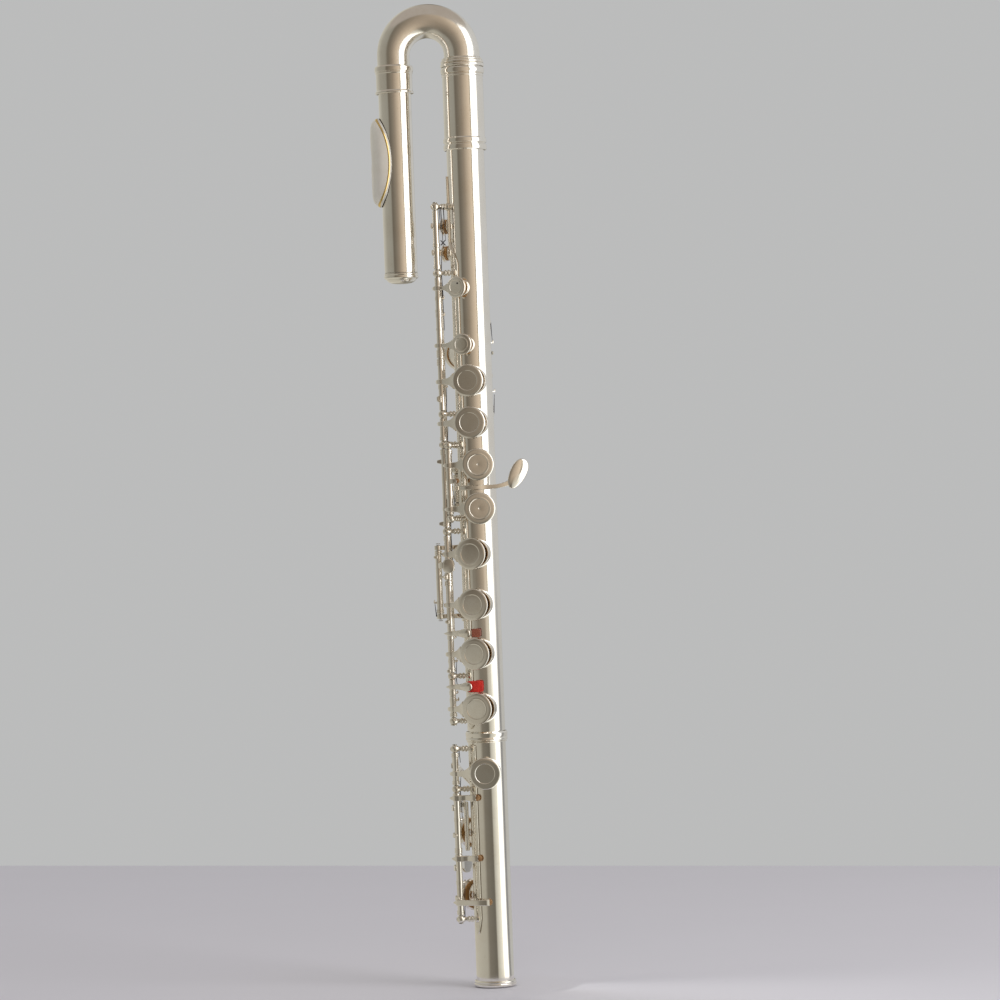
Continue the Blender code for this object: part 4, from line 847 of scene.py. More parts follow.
def buildRibs():
    main, g = rods["main"], rods["g"]
    r = ribShape
    holes = [h for h in bodyHoles.values() if h[1] < 60]
    shells = [longStrap(r["bottom"], r["top"], *r["angles"], holes, r["turn"])]
    for z in mainPosts[:-1]:
        shells += post(r["footAngle"], main, z, slotOut=z in (375, 285))
    shells += post(78, main, mainPosts[-1])
    for z in gPosts:
        shells += post(53.6, g, z)
    for z in (195, 231):
        shells += sideBracket(z)
    for low, high in ((140, 163.6), (163.6, 239.5)):
        shells.append(turned([(1.2, low - 2.25), (1.75, low - 2.2), (1.75, low - 1.9), (1.2, low - 1.85)],
            standing(main), 32, 0.05))
    piece("mainRib", shells, ribPlate, "body", ["main_rib"])
    shells = [longStrap(28, 127.4, 36, 64, [footHoles["dSharp"]], None, 8.0, 1.0)]
    for z in footPosts:
        shells += post(52, main, z, slotOut=z != 104.3)
    piece("footRib", shells, ribPlate, "foot", ["foot_rib"])
    for name, node, angle, half, rod, posts in (
        ("backRib", "back_rib", 129.2, 8, "back", backPosts), ("thumbRib", "thumb_rib", 215, 11, "thumb", thumbPosts),
    ):
        shells = [longStrap(posts[0] - 4, posts[-1] + 4, angle - half, angle + half, [], None, 2.0, 2.0)]
        for z in posts:
            shells += post(angle, rods[rod], z)
        piece(name, shells, ribPlate, "body", [node])
    buildSteels()
    buildSprings()
    print("ribs and posts ready")


def sideBracket(height):
    # a flat bracket from the strap to the side lever's rod, behind the main rod
    side = rods["side"]
    level = side.y + 0.7
    points = [around(78, 10.4, height), Vector((-13.5, level + 0.3, height)), Vector((-17.5, level + 0.05, height)),
        Vector((side.x + 1.2, level - 0.2, height))]
    shells = [armThrough(points, [1.5, 1.2, 1.1, 1.2], [0.45] * 4, 5, 0.25)]
    shells.append(turned([(0.95, height - 1.2), (1.95, height - 1.2), (1.95, height + 1.2), (0.95, height + 1.2)],
        standing(side), 36, 0.3))
    shells.append(strap([(height + dz, 60 + e, 86 - e) for dz,
        e in ((-2.9, 7), (-2.4, 2), (-1.6, 0), (0, 0), (1.6, 0), (2.4, 2), (2.9, 7))]))
    return shells


steelShape = {"radius": 0.95, "past": 1.6, "head": 1.15}


def buildSteels():
    radius, past, head = steelShape["radius"], steelShape["past"], steelShape["head"]
    for name, node, rod, low, high, body in (("trillSteel", "trill_steel", "main", 376.9, 410, "body"),
            ("upperSteel", "upper_steel", "main", 286.9, 373.1, "body"),
            ("lowerSteel", "lower_steel", "main", 140, 283.1, "body"),
            ("gSteel", "g_steel", "g", 246.2, 284.5, "body"),
            ("backSteel", "back_steel", "back", 252.5, 271.5, "body"),
            ("thumbSteel", "thumb_steel", "thumb", 300.5, 349.5, "body"),
            ("sideLeverSteel", "side_lever_steel", "side", 195, 231, "body"),
            ("footSteel", "foot_steel", "main", 36, 125.4, "foot"),):
        axis = rods[rod]
        shells = [drum(radius, low - past, high + past, standing(axis), 32, 0.1)]
        if name not in ("trillSteel", "upperSteel"):
            shells += slottedHead(standing(axis + up * (low - 2.05)) @ Matrix.Rotation(math.pi, 4, "X"), head, 0.35,
                0.3)
        if name != "lowerSteel":
            shells += slottedHead(standing(axis + up * (high + 2.0)), head, 0.38, 0.3)
        piece(name, shells, rodSteel, body, [node])


def springSet(rod, runs, side, reach=2.1):
    # needle springs beside a rod: each run is (post height, hook height)
    shells = []
    for start, end in runs:
        shells.append(needle(rod + side * reach + up * start, rod + side * (reach + needleShape["splay"]) + up * end))
    return shells


def crossedHooks(point):
    # the bent ends of two springs, crossed over each other
    return [wire([point + Vector((a, -0.2, -1.3)), point, point + Vector((-a, -0.4, 1.3))], [0.28, 0.3, 0.22], 4, 8)
        for a in (-1.2, 1.2)]


def buildSprings():
    main, g = rods["main"], rods["g"]
    body = springSet(main, [(410, 396.5), (375, 386), (375, 345), (239.5, 219.5), (239.5, 251), (285, 296),
        (301, 315), (163.6, 171), (163.6, 156.5), (375, 362)], near)
    body += springSet(main, [(410, 388)], near, 3.0) + springSet(main, [(410, 392)], near, 4.4)
    body += crossedHooks(main + near * 3.6 + up * 391)
    body += springSet(g, [(246.2, 257), (284.5, 272)], outward(140))
    body += springSet(rods["back"], [(252.5, 261)], outward(40))
    body += springSet(rods["thumb"], [(349.5, 338), (300.5, 311)], outward(250))
    body += springSet(rods["side"], [(195, 202)], outward(90))
    piece("needleSprings", body, springSteel, "body", sharp=60)
    foot = springSet(main, [(104.3, 111), (104.3, 88), (36, 55), (125.4, 118)], near)
    piece("footSprings", foot, springSteel, "foot", sharp=60)


# Keys. Each is drawn closed and then swung to where it rests.

hingeShape = {"bore": 1.0, "radius": 1.62, "play": 0.12}


def hingeTube(rod, low, high):
    bore, radius = hingeShape["bore"], hingeShape["radius"]
    low, high = low - hingeShape["play"], high + hingeShape["play"]
    line = [(bore, low), (radius, low), (radius, high), (bore, high)]
    return turned(line, standing(rod), 44, 0.1, 2)


def cupShell(size, angle, height, dimple=False):
    r = size["cup"]
    low = size["rim"] + 0.8 + size.get("lift", 0)
    top = size["rim"] + 3.4
    ring = 0.12 if dimple or r < 7 else 0.03
    profile = [(0, top - 0.1), (0.4 * r, top - 0.11), (0.57 * r, top - 0.14), (0.6 * r, top - 0.17),
        (0.625 * r, top + ring), (0.65 * r, top + ring + 0.04), (0.68 * r, top + ring), (0.715 * r, top - 0.02),
        (0.8 * r, top - 0.04), (0.89 * r, top - 0.12), (0.95 * r, top - 0.3), (0.985 * r, top - 0.55),
        (r, top - 0.85), (r - 0.12, top - 1.1), (r - 0.8, low + 0.12), (r - 0.9, low), (r - 1.1, low),
        (r - 1.1, low + 1.2), (0, low + 1.2)]
    if dimple:
        profile[0:1] = [(0, top - 0.36), (0.04 * r, top - 0.3), (0.06 * r, top - 0.14), (0.1 * r, top - 0.1)]
    return turned(profile, facing(angle, height), 72, 0.06, 2)


def padDisc(size, angle, height):
    r = size["cup"] - 0.78
    low = size["rim"] + 0.22
    seat = size["hole"] + 0.25
    profile = [(0, low + 0.02), (seat - 0.5, low + 0.02), (seat - 0.15, low + 0.1), (seat + 0.15, low + 0.1),
        (r - 0.35, low - 0.02), (r - 0.08, low + 0.16), (r, low + 0.5), (r, low + 1.9), (0, low + 1.9)]
    return turned(profile, facing(angle, height), 64, 0.1, 2)


def rimPoint(size, angle, height, rod, inset):
    side = forward(angle)
    if rod.dot(side) < 0:
        side = -side
    return outward(angle) * (size["rim"] + 2.1) + side * (size["cup"] - inset) + up * height


def cupArm(size, angle, height, rod, point):
    # the pointed tip lies over the hinge tube, and the web opens out into the cup's side
    start = rod + up * height
    end = rimPoint(size, angle, height, rod, 0.75)
    u = (end - start).normalized()
    n = u.cross(up)
    if n.dot(outward(angle)) < 0:
        n = -n
    length = (end - start).length
    k = size["cup"] / 8.4
    wide = 4.1 * k
    stations = [(-point - 0.3, -0.2, 0.1, 0.12), (-point + 0.5, 0.6, 0.3, 0.3), (-2.1, 1.45, 0.62, 0.42),
        (-1.1, 2.0, 0.95, 0.5), (0, 2.15, 1.2, 0.55), (1.4, 1.75, 1.35, 0.6), (2.6, 0.85, 1.4 * k, 0.62),
        (0.62 * length, 0.1, 1.9 * k, 0.66), (length, 0.05, wide, 0.62)]
    points = [start + u * s[0] + n * s[1] for s in stations]
    return armThrough(points, [s[2] for s in stations], [s[3] for s in stations], 5, 0.3, 0.5)


def hook(rod, height, direction, reach=2.9, rise=1.3):
    start = rod + direction * 1.3 + up * height
    bend = rod + direction * reach + up * height
    side = direction.cross(up) * 0.5
    shells = [wire([start, start.lerp(bend, 0.6), bend, bend + up * rise * 0.55 + side * 0.3,
        bend + up * rise + side], [0.75, 0.55, 0.48, 0.42, 0.32], 4, 10)]
    shells.append(collar(rod, height - 1.0, height + 1.0, 1.82, 0))
    return shells


def cupKey(name, node, body, rodName, rest, spans, cups, extras=(), hooks=(), arm=3.7, dimple=False):
    rod = rods[rodName]
    shells = [hingeTube(rod, low, high) for low, high in spans]
    for padName, padNode, hole in cups:
        size, angle, height = hole
        shells += [cupArm(size, angle, height, rod, arm), cupShell(size, angle, height, dimple)]
        pad = piece(padName, swung([padDisc(size, angle, height)], rod, rest), padSkin, body, [padNode])
    for height, direction in hooks:
        shells += hook(rod, height, direction)
    shells += list(extras)
    return piece(name, swung(shells, rod, rest), keyPlate, body, [node])


def lug(rod, height, direction, length, wide):
    # a flat clutch lug
    start = rod + direction * 1.2 + up * height
    end = rod + direction * (1.2 + length) + up * height
    return [armThrough([start, start.lerp(end, 0.5), end], [wide, wide * 0.85, wide * 0.6], [0.55] * 3, 3, 0.3)]


def adjustingScrew(rod, height):
    place = along(rod + outward(15) * 3.9 + up * height + outward(105) * 0.9, outward(-75))
    return [drum(0.5, -1.6, 0, place, 20, 0.05)] + slottedHead(place, 0.85, 0.6, 0.26)


def buildUpperKeys():
    main, g = rods["main"], rods["g"]
    pin = facing(25, 367)
    stud = turned([(0, 14.6), (0.5, 14.6), (0.5, 15.0), (0.35, 15.06), (0, 15.06)],
        pin @ Matrix.Translation((1.9, -1.2, 0)), 20, 0.05)
    piece("cSharpStud", swung([stud], main, openTurn), springSteel, "c_sharp")
    extras = [collar(main, 330.8, 334.6, 2.05, 3), collar(main, 354.4, 356.0, 1.9, 0),
        collar(main, 345, 346.2, 1.85, 0)]
    cupKey("cSharpKey", "c_sharp_key", "c_sharp", "main", openTurn, [(330.4, 372.7)],
        [("cSharpPad", "c_sharp_pad", bodyHoles["cSharp"]), ("cPad", "c_pad", bodyHoles["c"])], extras,
        [(353, near), (361.8, near)], 3.4)
    extras = [collar(main, 326.6, 329.9, 2.05, 2)] + lug(main, 309, outward(20), 3.4, 1.9)
    cupKey("bFlatKey", "b_flat_key", "b_flat", "main", openTurn, [(303.3, 330)],
        [("bFlatPad", "b_flat_pad", bodyHoles["bFlat"])], extras, [(315.3, near)])
    cupKey("aKey", "a_key", "a", "main", openTurn, [(287.3, 298.7)], [("aPad", "a_pad", bodyHoles["a"])],
        [collar(main, 287.3, 289.1)], [(296.2, near)])
    link = [hingeTube(main, 241.8, 282.7), collar(main, 241.9, 244.2), collar(main, 279.6, 282.5, 2.0, 2)]
    for height in (243.6, 276.2):
        link += lug(main, height, outward(100), 2.6, 1.3)
    link += hook(main, 251.2, near)
    piece("bFlatLink", swung(link, main, openTurn), keyPlate, "b_flat_link", ["b_flat_link"])
    clamp = armThrough([g + up * 265.6, g + Vector((1.4, -2.3, 265.6)), g + Vector((4.2, -3.0, 265.8))],
        [1.3, 1.3, 1.0], [0.5, 0.5, 0.45], 4, 0.3)
    cupKey("gKey", "g_key", "g", "g", openTurn, [(248.5, 282.2)],
        [("gUpperPad", "g_upper_pad", bodyHoles["gUpper"]), ("gLowerPad", "g_lower_pad", bodyHoles["gLower"])],
        [clamp, collar(g, 256.6, 258.4, 1.9, 0), collar(g, 280, 282.1)],
        [(257.3, outward(140)), (271.8, outward(140))], 3.3, True)
    tip = [drum(1.25, -0.9, 0.5, along(g + Vector((4.3, -2.35, 265.8)), Vector((0.3, 1, 0))), 24, 0.15)]
    piece("gClampCork", swung(tip, g, openTurn), cork, "g")
    print("upper keys ready")


def buildLowerKeys():
    main = rods["main"]
    plans = [("fSharpKey", "f_sharp_key", "f_sharp", "fSharp", (213.9, 237.2), [(219.2, near)],
        [collar(main, 214.1, 217.6, 2.1, 2), collar(main, 234.8, 237.1)]),
        ("fKey", "f_key", "f", "f", (190, 213.5), [], [collar(main, 210.9, 213.4, 2.1, 1)]),
        ("eKey", "e_key", "e", "e", (165.9, 182.3), [(171.3, near)], [collar(main, 166, 168)]),
        ("dKey", "d_key", "d", "d", (142.3, 153), [(150.9, near)], [collar(main, 142.4, 144)]),]
    for name, node, body, hole, span, hooks, extras in plans:
        z = bodyHoles[hole][2]
        if name == "fSharpKey":
            extras = extras + lug(main, 215.8, outward(15), 3.2, 1.5) + adjustingScrew(main, 215.8)
        if name in ("eKey", "fKey"):
            extras = extras + lug(main, z - 8.8, outward(25), 2.6, 1.1)
        tip = 2.7 if name == "fSharpKey" else 3.7  # short of the side lever's tube
        pad = (hole + "Pad", node.replace("_key", "_pad"), bodyHoles[hole])
        cupKey(name, node, body, "main", openTurn, [span], [pad], extras, hooks, tip)
    buildSideLever()
    print("lower keys ready")


def buildSideLever():
    side = rods["side"]
    height = 221.8
    centre = Vector((-16.6, -9.9, height))
    arm = armThrough([side + up * height, Vector((-21.3, -6.6, height)), Vector((-20.0, -8.9, height)), centre],
        [1.5, 1.5, 1.6, 2.2], [0.6, 0.55, 0.5, 0.4], 5, 0.35, 0.3)
    touch = plate(centre - up * 0.3, Vector((0, 0, 3.8)), Vector((3.2, -0.85, 0)), 1.0, 0.0, 0.35, 48, 0.8)
    shells = [hingeTube(side, 196.5, 229.5), arm, touch, collar(side, 196.6, 198.6),
        collar(side, 227.4, 229.4)] + hook(side, 202.3, outward(90))
    shells += lug(side, 226.2, outward(35), 2.4, 1.0)
    piece("sideLever", shells, keyPlate, "side_lever", ["side_lever"])


def feltBlock(height, ends):
    # a felt block glued round the end of a trill touch, from one angle to another
    start, end, half = ends
    points = [around(start + (end - start) * k / 4, 14.55, height) for k in range(5)]
    return armThrough(points, [half * 0.93, half, half, half, half * 0.9], [0.85] * 5, 4, 0.35, 0.15)


trillAngle = 111  # where the trill holes sit round the tube


def buildTrillKeys():
    main = rods["main"]
    plans = [("dSharpTrill", "d_sharp_trill", 400, 158, [(388.8, 407.7), (153.4, 161.3)], Vector((-17.2, 0.8, 0)),
        393.7, redFelt, (36, 4, 3.0)), ("dTrill", "d_trill", 386, 186, [(377.3, 388.4), (182.7, 189.6)],
        Vector((-15.4, -1.0, 0)), 379.8, brownFelt, (22, 5, 2.3)),]
    for name, node, cupHeight, touchHeight, spans, link, linkTop, felt, feltEnds in plans:
        size = trillHole
        start = main + up * cupHeight
        end = rimPoint(size, trillAngle, cupHeight, main, 0.65)
        bow = (end - start).normalized().cross(up)
        if bow.dot(outward(90)) < 0:
            bow = -bow
        points = [start - (end - start).normalized() * 1.5 + bow * 1.6, start + bow * 2.1,
            start.lerp(end, 0.5) + bow * 0.9, end]
        shells = [armThrough(points, [0.9, 1.5, 1.35, 2.3], [0.45, 0.55, 0.6, 0.6], 6, 0.35, 0.2),
            cupShell(size, trillAngle, cupHeight)]
        shells += [hingeTube(main, low, high) for low, high in spans]
        shells.append(drum(0.82, touchHeight - 1, linkTop, standing(link), 24, 0.25))
        for z in (linkTop - 1.2, touchHeight):
            shells.append(armThrough([main + up * z, main.lerp(link, 0.5) + up * z, link + up * z], [1.1, 0.95, 1.1],
                [0.7, 0.6, 0.75], 3, 0.35))
        base = main + up * touchHeight
        tipBack = base + outward(92) * 3.3
        points = [tipBack, base + outward(60) * 2.2, base + outward(20) * 2.1]
        points += arc(touchHeight, (60, 17.6), (50, 17.0), (42, 16.4))
        shells.append(armThrough(points, [0.2, 0.8, 1.2, 1.3, 1.5, 1.8], [0.25, 0.5, 0.6, 0.62, 0.62, 0.55], 5, 0.4,
            0.3))
        shells.append(plate(around(37, 16.2, touchHeight), forward(33) * 3.9, Vector((0, 0, 2.9)), 1.2, 0.4, 0.75, 56,
            0.95))
        shells.append(armThrough(arc(touchHeight, (38, 15.6), (28, 15.0), (8, 14.6)), [1.6, 1.5, 1.2], [0.3] * 3, 5,
            0.25))
        shells += hook(main, touchHeight - 2.2 if name == "dTrill" else touchHeight - 3.2, near, 2.6, 1.0)
        shells.append(collar(main, spans[0][0] + 0.1, spans[0][0] + 1.8))
        piece(name + "Key", shells, keyPlate, node, [node + "_key"])
        pad = piece(name + "Pad", [padDisc(size, trillAngle, cupHeight)], padSkin, node, [node + "_pad"])
        button = feltBlock(touchHeight, feltEnds)
        piece(name + "Felt", [button], felt, node, [node + "_felt"])
    print("trill keys ready")


def buildThumbKeys():
    thumb = rods["thumb"]
    def touch(rootHeight, centreHeight, longHalf):
        points = [thumb + up * rootHeight, around(205, 15.9, rootHeight),
            around(195, 15.9, (rootHeight + centreHeight) / 2), around(183, 15.5, centreHeight)]
        arm = armThrough(points, [1.5, 1.7, 2.0, 2.2], [0.65, 0.62, 0.6, 0.5], 5, 0.4, 0.3)
        return [arm, plate(around(176, 15.5, centreHeight), up * longHalf, forward(176) * 4.3, 1.2, 0.0, 0.3, 56,
            0.85)]
    cupKey("thumbKey", "thumb_b_key", "thumb_b", "thumb", -10, [(323.3, 347.2)],
        [("thumbPad", "thumb_pad", bodyHoles["thumb"])], touch(325.5, 320, 6.1) + [collar(thumb, 345, 347)],
        [(338.4, outward(250))], 3.2)
    shells = [hingeTube(thumb, 302.8, 318.7), collar(thumb, 303, 305)] + touch(307.25, 305.25, 5.7) + hook(thumb,
        312.5, outward(250))
    piece("thumbFlatKey", shells, keyPlate, "thumb_b_flat", ["thumb_b_flat_key"])
    print("thumb keys ready")


gSharpShape = {"height": 262, "level": 14.0, "lowLevel": 13.3, "tilt": 62, "long": 8.4, "short": 5.0}


def buildGSharp():
    g = gSharpShape
    back, height = rods["back"], g["height"]
    path = [back + up * height] + [around(a, g["lowLevel"], height)
        for a in (112, 90, 66)] + [around(a, g["level"], height) for a in (44, 22, 0, -20)]
    path += [Vector((11.5, -13.2, height + 0.4)), Vector((17.5, -12.6, height + 2.2)),
        Vector((20.5, -12.4, height + 5.0))]
    lever = armThrough(path, [1.25] * 8 + [1.15, 1.5, 2.3], [0.72] * 9 + [0.66, 0.5], 5, 0.4, 0.2)
    tilt = math.radians(g["tilt"])
    longHalf = Vector((math.cos(tilt), 0.06, math.sin(tilt))) * g["long"]
    shortHalf = Vector((math.sin(tilt), 0.28, -math.cos(tilt))).normalized() * g["short"]
    spatula = plate(Vector((21.4, -12.4, height + 6.4)), longHalf, shortHalf, 1.1, 0.22, 0.95, 72, 0.92)
    cupKey("gSharpKey", "g_sharp_key", "g_sharp", "back", 0, [(254.8, 269.2)],
        [("gSharpPad", "g_sharp_pad", bodyHoles["gSharp"])],
        [lever, spatula, collar(back, 255, 256.8), collar(back, 267.2, 269.1)], [(265.4, outward(40))], 2.6)
    print("G sharp key ready")


def backTouch(rootHeight, angle, centreHeight, longHalf, shortHalf, taper):
    main = rods["main"]
    root = main + up * rootHeight
    mid = (rootHeight + centreHeight) / 2
    points = [root + outward(62) * 2.0] + arc(rootHeight, (86, 18.4), (100, 17.0))
    points.append(around(118, 16.3, mid + (rootHeight - mid) * 0.4))
    points.append(around((118 + angle) / 2 + 4, 15.9, mid * 0.5 + centreHeight * 0.5))
    points.append(around(angle - 4, 15.7, centreHeight))
    arm = armThrough(points, [1.1, 1.5, 1.5, 1.7, 2.1, 2.6], [0.5, 0.66, 0.66, 0.66, 0.62, 0.5], 5, 0.4, 0.3)
    return [arm, plate(around(angle, 15.65, centreHeight), up * longHalf, forward(angle) * shortHalf, 1.3, taper,
        0.35, 72, 0.9)]


def stopTail(height, angle, rest):
    # an arm across the front-left that stops the open key, drawn where it rests
    main = rods["main"]
    points = [main + outward(a) * reach + up * height for a, reach in ((95, 3.4), (60, 2.1), (15, 2.2))]
    points += arc(height, (angle + 26, 14.4), (angle + 10, 13.2), (angle, 12.3))
    arm = armThrough(points, [0.4, 1.2, 1.6, 1.4, 1.6, 1.8], [0.35, 0.5, 0.62, 0.62, 0.6, 0.5], 5, 0.4, 0.3)
    pad = drum(1.7, 10.5, 11.75, facing(angle + 1, height), 28, 0.2)
    return [arm], [pad]


def buildFootKeys():
    main = rods["main"]
    extras = backTouch(116.4, 163, 104, 11, 4.6, 0.3) + [collar(main, 106.8, 108.6), collar(main, 121, 123)]
    cupKey("footDSharpKey", "foot_d_sharp_key", "foot_d_sharp", "main", 0, [(106.6, 123.1)],
        [("footDSharpPad", "foot_d_sharp_pad", footHoles["dSharp"])], extras, [(112.8, near)])
    rest = 9
    barAt = Vector((-12.1, -2.6, 0))
    armOne, corkOne = stopTail(99.6, 33, rest)
    bar = [drum(1.2, 71.5, 97.2, standing(barAt), 36, 0.4)]
    bar.append(armThrough([main + up * 95.8, main.lerp(barAt, 0.5) + up * 95.8, barAt + up * 95.8], [1.3, 1.2, 1.2],
        [0.7] * 3, 3, 0.35))
    fixed = swung(armOne + bar, main, -rest)
    extras = backTouch(94, 133, 94, 3.7, 3.5, 0.0) + fixed + [collar(main, 70.6, 73.2, 2.05, 2),
        collar(main, 99.4, 101.8)]
    cupKey("footCSharpKey", "foot_c_sharp_key", "foot_c_sharp", "main", rest, [(70.4, 102)],
        [("footCSharpPad", "foot_c_sharp_pad", footHoles["cSharp"])], extras, [(88.2, near)])
    armTwo, corkTwo = stopTail(67.8, 33, rest)
    armThree, corkThree = stopTail(44.8, 8, rest)
    extras = backTouch(62.5, 140, 63, 4.5, 4.7, 0.0) + swung(armTwo + armThree, main,
        -rest) + [collar(main, 67.2, 69.8, 2.05, 1), collar(main, 38.5, 40.4)]
    cupKey("footCKey", "foot_c_key", "foot_c", "main", rest, [(38.3, 70)],
        [("footCPad", "foot_c_pad", footHoles["c"])], extras, [(55.2, near)])
    for name, body, corks in (("footCSharpCork", "foot_c_sharp", corkOne),
            ("footCCorks", "foot_c", corkTwo + corkThree)):
        piece(name, corks, cork, body)
    print("foot keys ready")


# Studio

studio = {
    "wall": (0.50, 0.503, 0.502), "floor": (0.66, 0.645, 0.70), "floorEnd": 0.64, "floorLean": 0.3724, "key": 8.0,
    "floorHalf": 3.0, "floorLevel": -0.0004,
    "fill": (0.62, 0.61, 0.60), "lampSize": (0.7, 1.3), "lampAt": (1.05, -0.75, 0.75), "lampAim": (0, 0, 0.25),
    # the reflector's outline as (radius, height), the rows of it that show the lower cards, its ceiling,
    # and the level and warmth right behind the flute
    "line": [(0.045, 0.0), (0.2, 0.03), (0.27, 0.13), (0.42, 0.24), (0.6, 0.42), (0.6, 1.0)],
    "columns": 360, "lowerRows": 3, "ceiling": (0.40, 0.36, 0.32), "back": (0.15, 0.7),
    # plain cards round the flute, by azimuth from -Y towards +X: (from, to, first level, last level, warmth)
    "upper": {
        "leftWall": (-165, -120, 0.6, 0.45, 0.4), "leftCard": (-100, -55, 0.35, 0.3, 0.45),
        "shade": (-45, -30, 0.15, 0.2, 0.8), "front": (-10, 34, 0.3, 0.75, 0.9),
        "gap": (37, 40, 0.35, 0.35, 0.8), "window": (43, 75, 2.2, 2.2, 0.05), "rightWall": (85, 165, 0.6, 0.55, 0.05),
    },
    "lower": {
        "leftWall": (-165, -40, 0.55, 0.4, 0.5), "shade": (-25, 15, 0.2, 0.15, 0.65),
        "front": (22, 50, 0.5, 0.9, 0.4), "window": (60, 80, 1.7, 1.7, 0.1), "gap": (95, 105, 0.25, 0.3, 0.0),
        "rightWall": (115, 165, 0.5, 0.5, 0.1),
    },
}


def cardStops(cards):
    # the two edges of each card; between cards the light blends
    stops = [(-180, *studio["back"])]
    for start, end, first, last, warmth in cards.values():
        stops += [(start, first, warmth), (end, last, warmth)]
    return stops + [(180, *studio["back"])]


def levelAt(stops, azimuth):
    for (a, low, warm), (b, high, warmer) in zip(stops, stops[1:]):
        if azimuth <= b:
            t = (azimuth - a) / (b - a)
            level, tint = low + (high - low) * t, warm + (warmer - warm) * t
            return Vector((level, level * (1 - 0.21 * tint ** 2), level * (1 - 0.40 * tint)))


def surround():
    # one round reflector with a ceiling, seen only in the flute's reflections
    s = studio
    columns, rows = s["columns"], len(s["line"]) - 1
    lower, upper = cardStops(s["lower"]), cardStops(s["upper"])
    points, colours, faces = [], [], []
    for row, (radius, height) in enumerate(s["line"]):
        stops = lower if row < s["lowerRows"] else upper
        for k in range(columns):
            azimuth = -180 + 360 * k / columns
            a = math.radians(azimuth)
            points.append(Vector((math.sin(a) * radius, -math.cos(a) * radius, height)))
            colours.append(levelAt(stops, azimuth))
    for row in range(rows):
        for k in range(columns):
            low, other = row * columns + k, row * columns + (k + 1) % columns
            faces.append((low, other, other + columns, low + columns))
    for k in range(columns):
        points.append(points[rows * columns + k].copy())
        colours.append(Vector(s["ceiling"]))
    faces.append(tuple(range((rows + 1) * columns, (rows + 2) * columns)))
    mesh = bpy.data.meshes.new("surround")
    mesh.from_pydata(points, [], faces)
    shade = mesh.color_attributes.new("shade", "FLOAT_COLOR", "POINT")
    for entry, colour in zip(shade.data, colours):
        entry.color = (*colour, 1)
    item = newObject("surround", mesh)
    material, tree, shader = newMaterial("surround")
    tree.nodes.remove(shader)
    light = addNode(tree, "ShaderNodeEmission")
    tree.links.new(addNode(tree, "ShaderNodeAttribute", attribute_name="shade").outputs["Color"],
        light.inputs["Color"])
    tree.links.new(light.outputs[0], tree.nodes["Material Output"].inputs[0])
    mesh.materials.append(material)
    item.visible_camera = False
    item.visible_diffuse = False
    item.visible_shadow = False


def seenRays(tree):
    # 1 for the camera's rays and for mirrored and transmitted ones
    rays = addNode(tree, "ShaderNodeLightPath").outputs
    bent = mathNode(tree, "MAXIMUM", rays["Is Glossy Ray"], rays["Is Transmission Ray"])
    return mathNode(tree, "MAXIMUM", rays["Is Camera Ray"], bent)


def mixShaders(tree, share, first, second, output):
    mix = addNode(tree, "ShaderNodeMixShader")
    for i, socket in enumerate((share, first, second)):
        tree.links.new(socket, mix.inputs[i])
    tree.links.new(mix.outputs[0], tree.nodes[output].inputs[0])


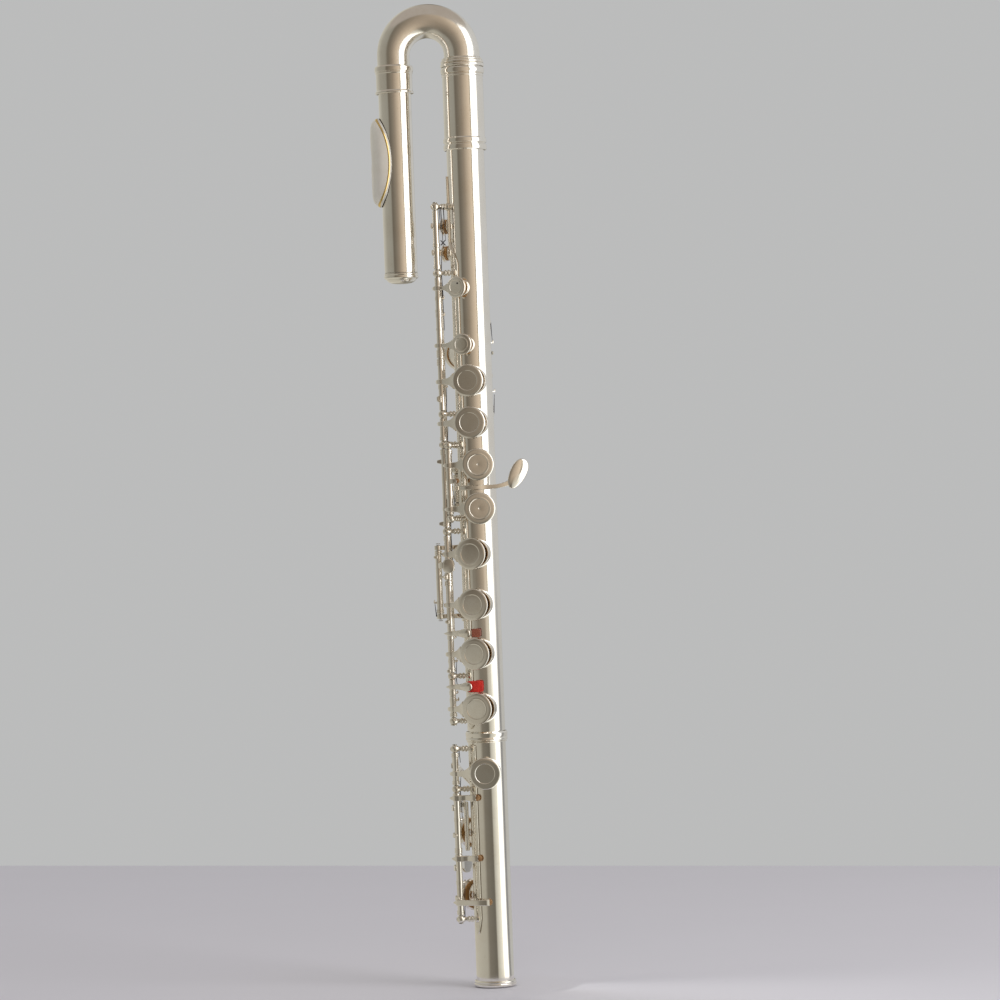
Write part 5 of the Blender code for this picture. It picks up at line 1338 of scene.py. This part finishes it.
def buildStudio():
    s = studio
    world = bpy.data.worlds.new("studioWorld")
    bpy.context.scene.world = world
    world.use_nodes = True
    tree = world.node_tree
    fill = tree.nodes["Background"]
    fill.inputs["Color"].default_value = (*s["fill"], 1)
    backdrop = addNode(tree, "ShaderNodeBackground")
    backdrop.inputs["Color"].default_value = (*s["wall"], 1)
    mixShaders(tree, seenRays(tree), fill.outputs[0], backdrop.outputs[0], "World Output")
    surround()
    lamp = newObject("keyLamp", bpy.data.lights.new("keyLamp", "AREA"))
    lamp.data.shape = "RECTANGLE"
    lamp.data.size, lamp.data.size_y = s["lampSize"]
    lamp.data.energy = s["key"]
    lamp.location = s["lampAt"]
    lamp.rotation_euler = (Vector(s["lampAim"]) - lamp.location).to_track_quat("-Z", "Y").to_euler()
    lamp.visible_glossy = False
    buildFloor()
    bpy.context.scene.view_settings.view_transform = "Standard"


def buildFloor():
    s = studio
    half, level = s["floorHalf"], s["floorLevel"]
    mesh = bpy.data.meshes.new("studioFloor")
    corners = [(x * half, y * half, level) for x, y in ((-1, -1), (1, -1), (1, 1), (-1, 1))]
    mesh.from_pydata(corners, [], [(0, 1, 2, 3)])
    floor = newObject("studioFloor", mesh)
    material, tree, shader = newMaterial("studioFloor")
    shader.inputs["Roughness"].default_value = 0.75
    place = addNode(tree, "ShaderNodeTexCoord").outputs["Object"]
    grain = noiseNode(tree, place, 9.0, 4.0)
    tree.links.new(mixColours(tree, grain, s["floor"], tuple(c * 0.97 for c in s["floor"])),
        shader.inputs["Base Color"])
    parts = addNode(tree, "ShaderNodeSeparateXYZ")
    tree.links.new(place, parts.inputs[0])
    depth = plus(tree, parts.outputs["Y"], times(tree, parts.outputs["X"], s["floorLean"]))
    beyond = mathNode(tree, "GREATER_THAN", depth, s["floorEnd"])
    wall = addNode(tree, "ShaderNodeEmission")
    wall.inputs["Color"].default_value = (*s["wall"], 1)
    share = times(tree, beyond, seenRays(tree))
    mixShaders(tree, share, shader.outputs[0], wall.outputs[0], "Material Output")
    mesh.materials.append(material)


viewpoint = {"sensor": 36, "angle": 15.37, "place": (0.0116, -1.95, 0.255), "level": 90, "roll": -2.1}


def buildCamera():
    v = viewpoint
    camera = newObject("camera", bpy.data.cameras.new("camera"))
    bpy.context.scene.camera = camera
    camera.data.sensor_width = v["sensor"]
    camera.data.angle = math.radians(v["angle"])
    camera.location = v["place"]
    turn = Matrix.Rotation(math.radians(v["level"]), 3, "X") @ Matrix.Rotation(math.radians(v["roll"]), 3, "Z")
    camera.rotation_euler = turn.to_euler()


buildTubes()
buildHead()
buildRibs()
buildUpperKeys()
buildLowerKeys()
buildTrillKeys()
buildThumbKeys()
buildGSharp()
buildFootKeys()
buildStudio()
buildCamera()
print("studio ready")
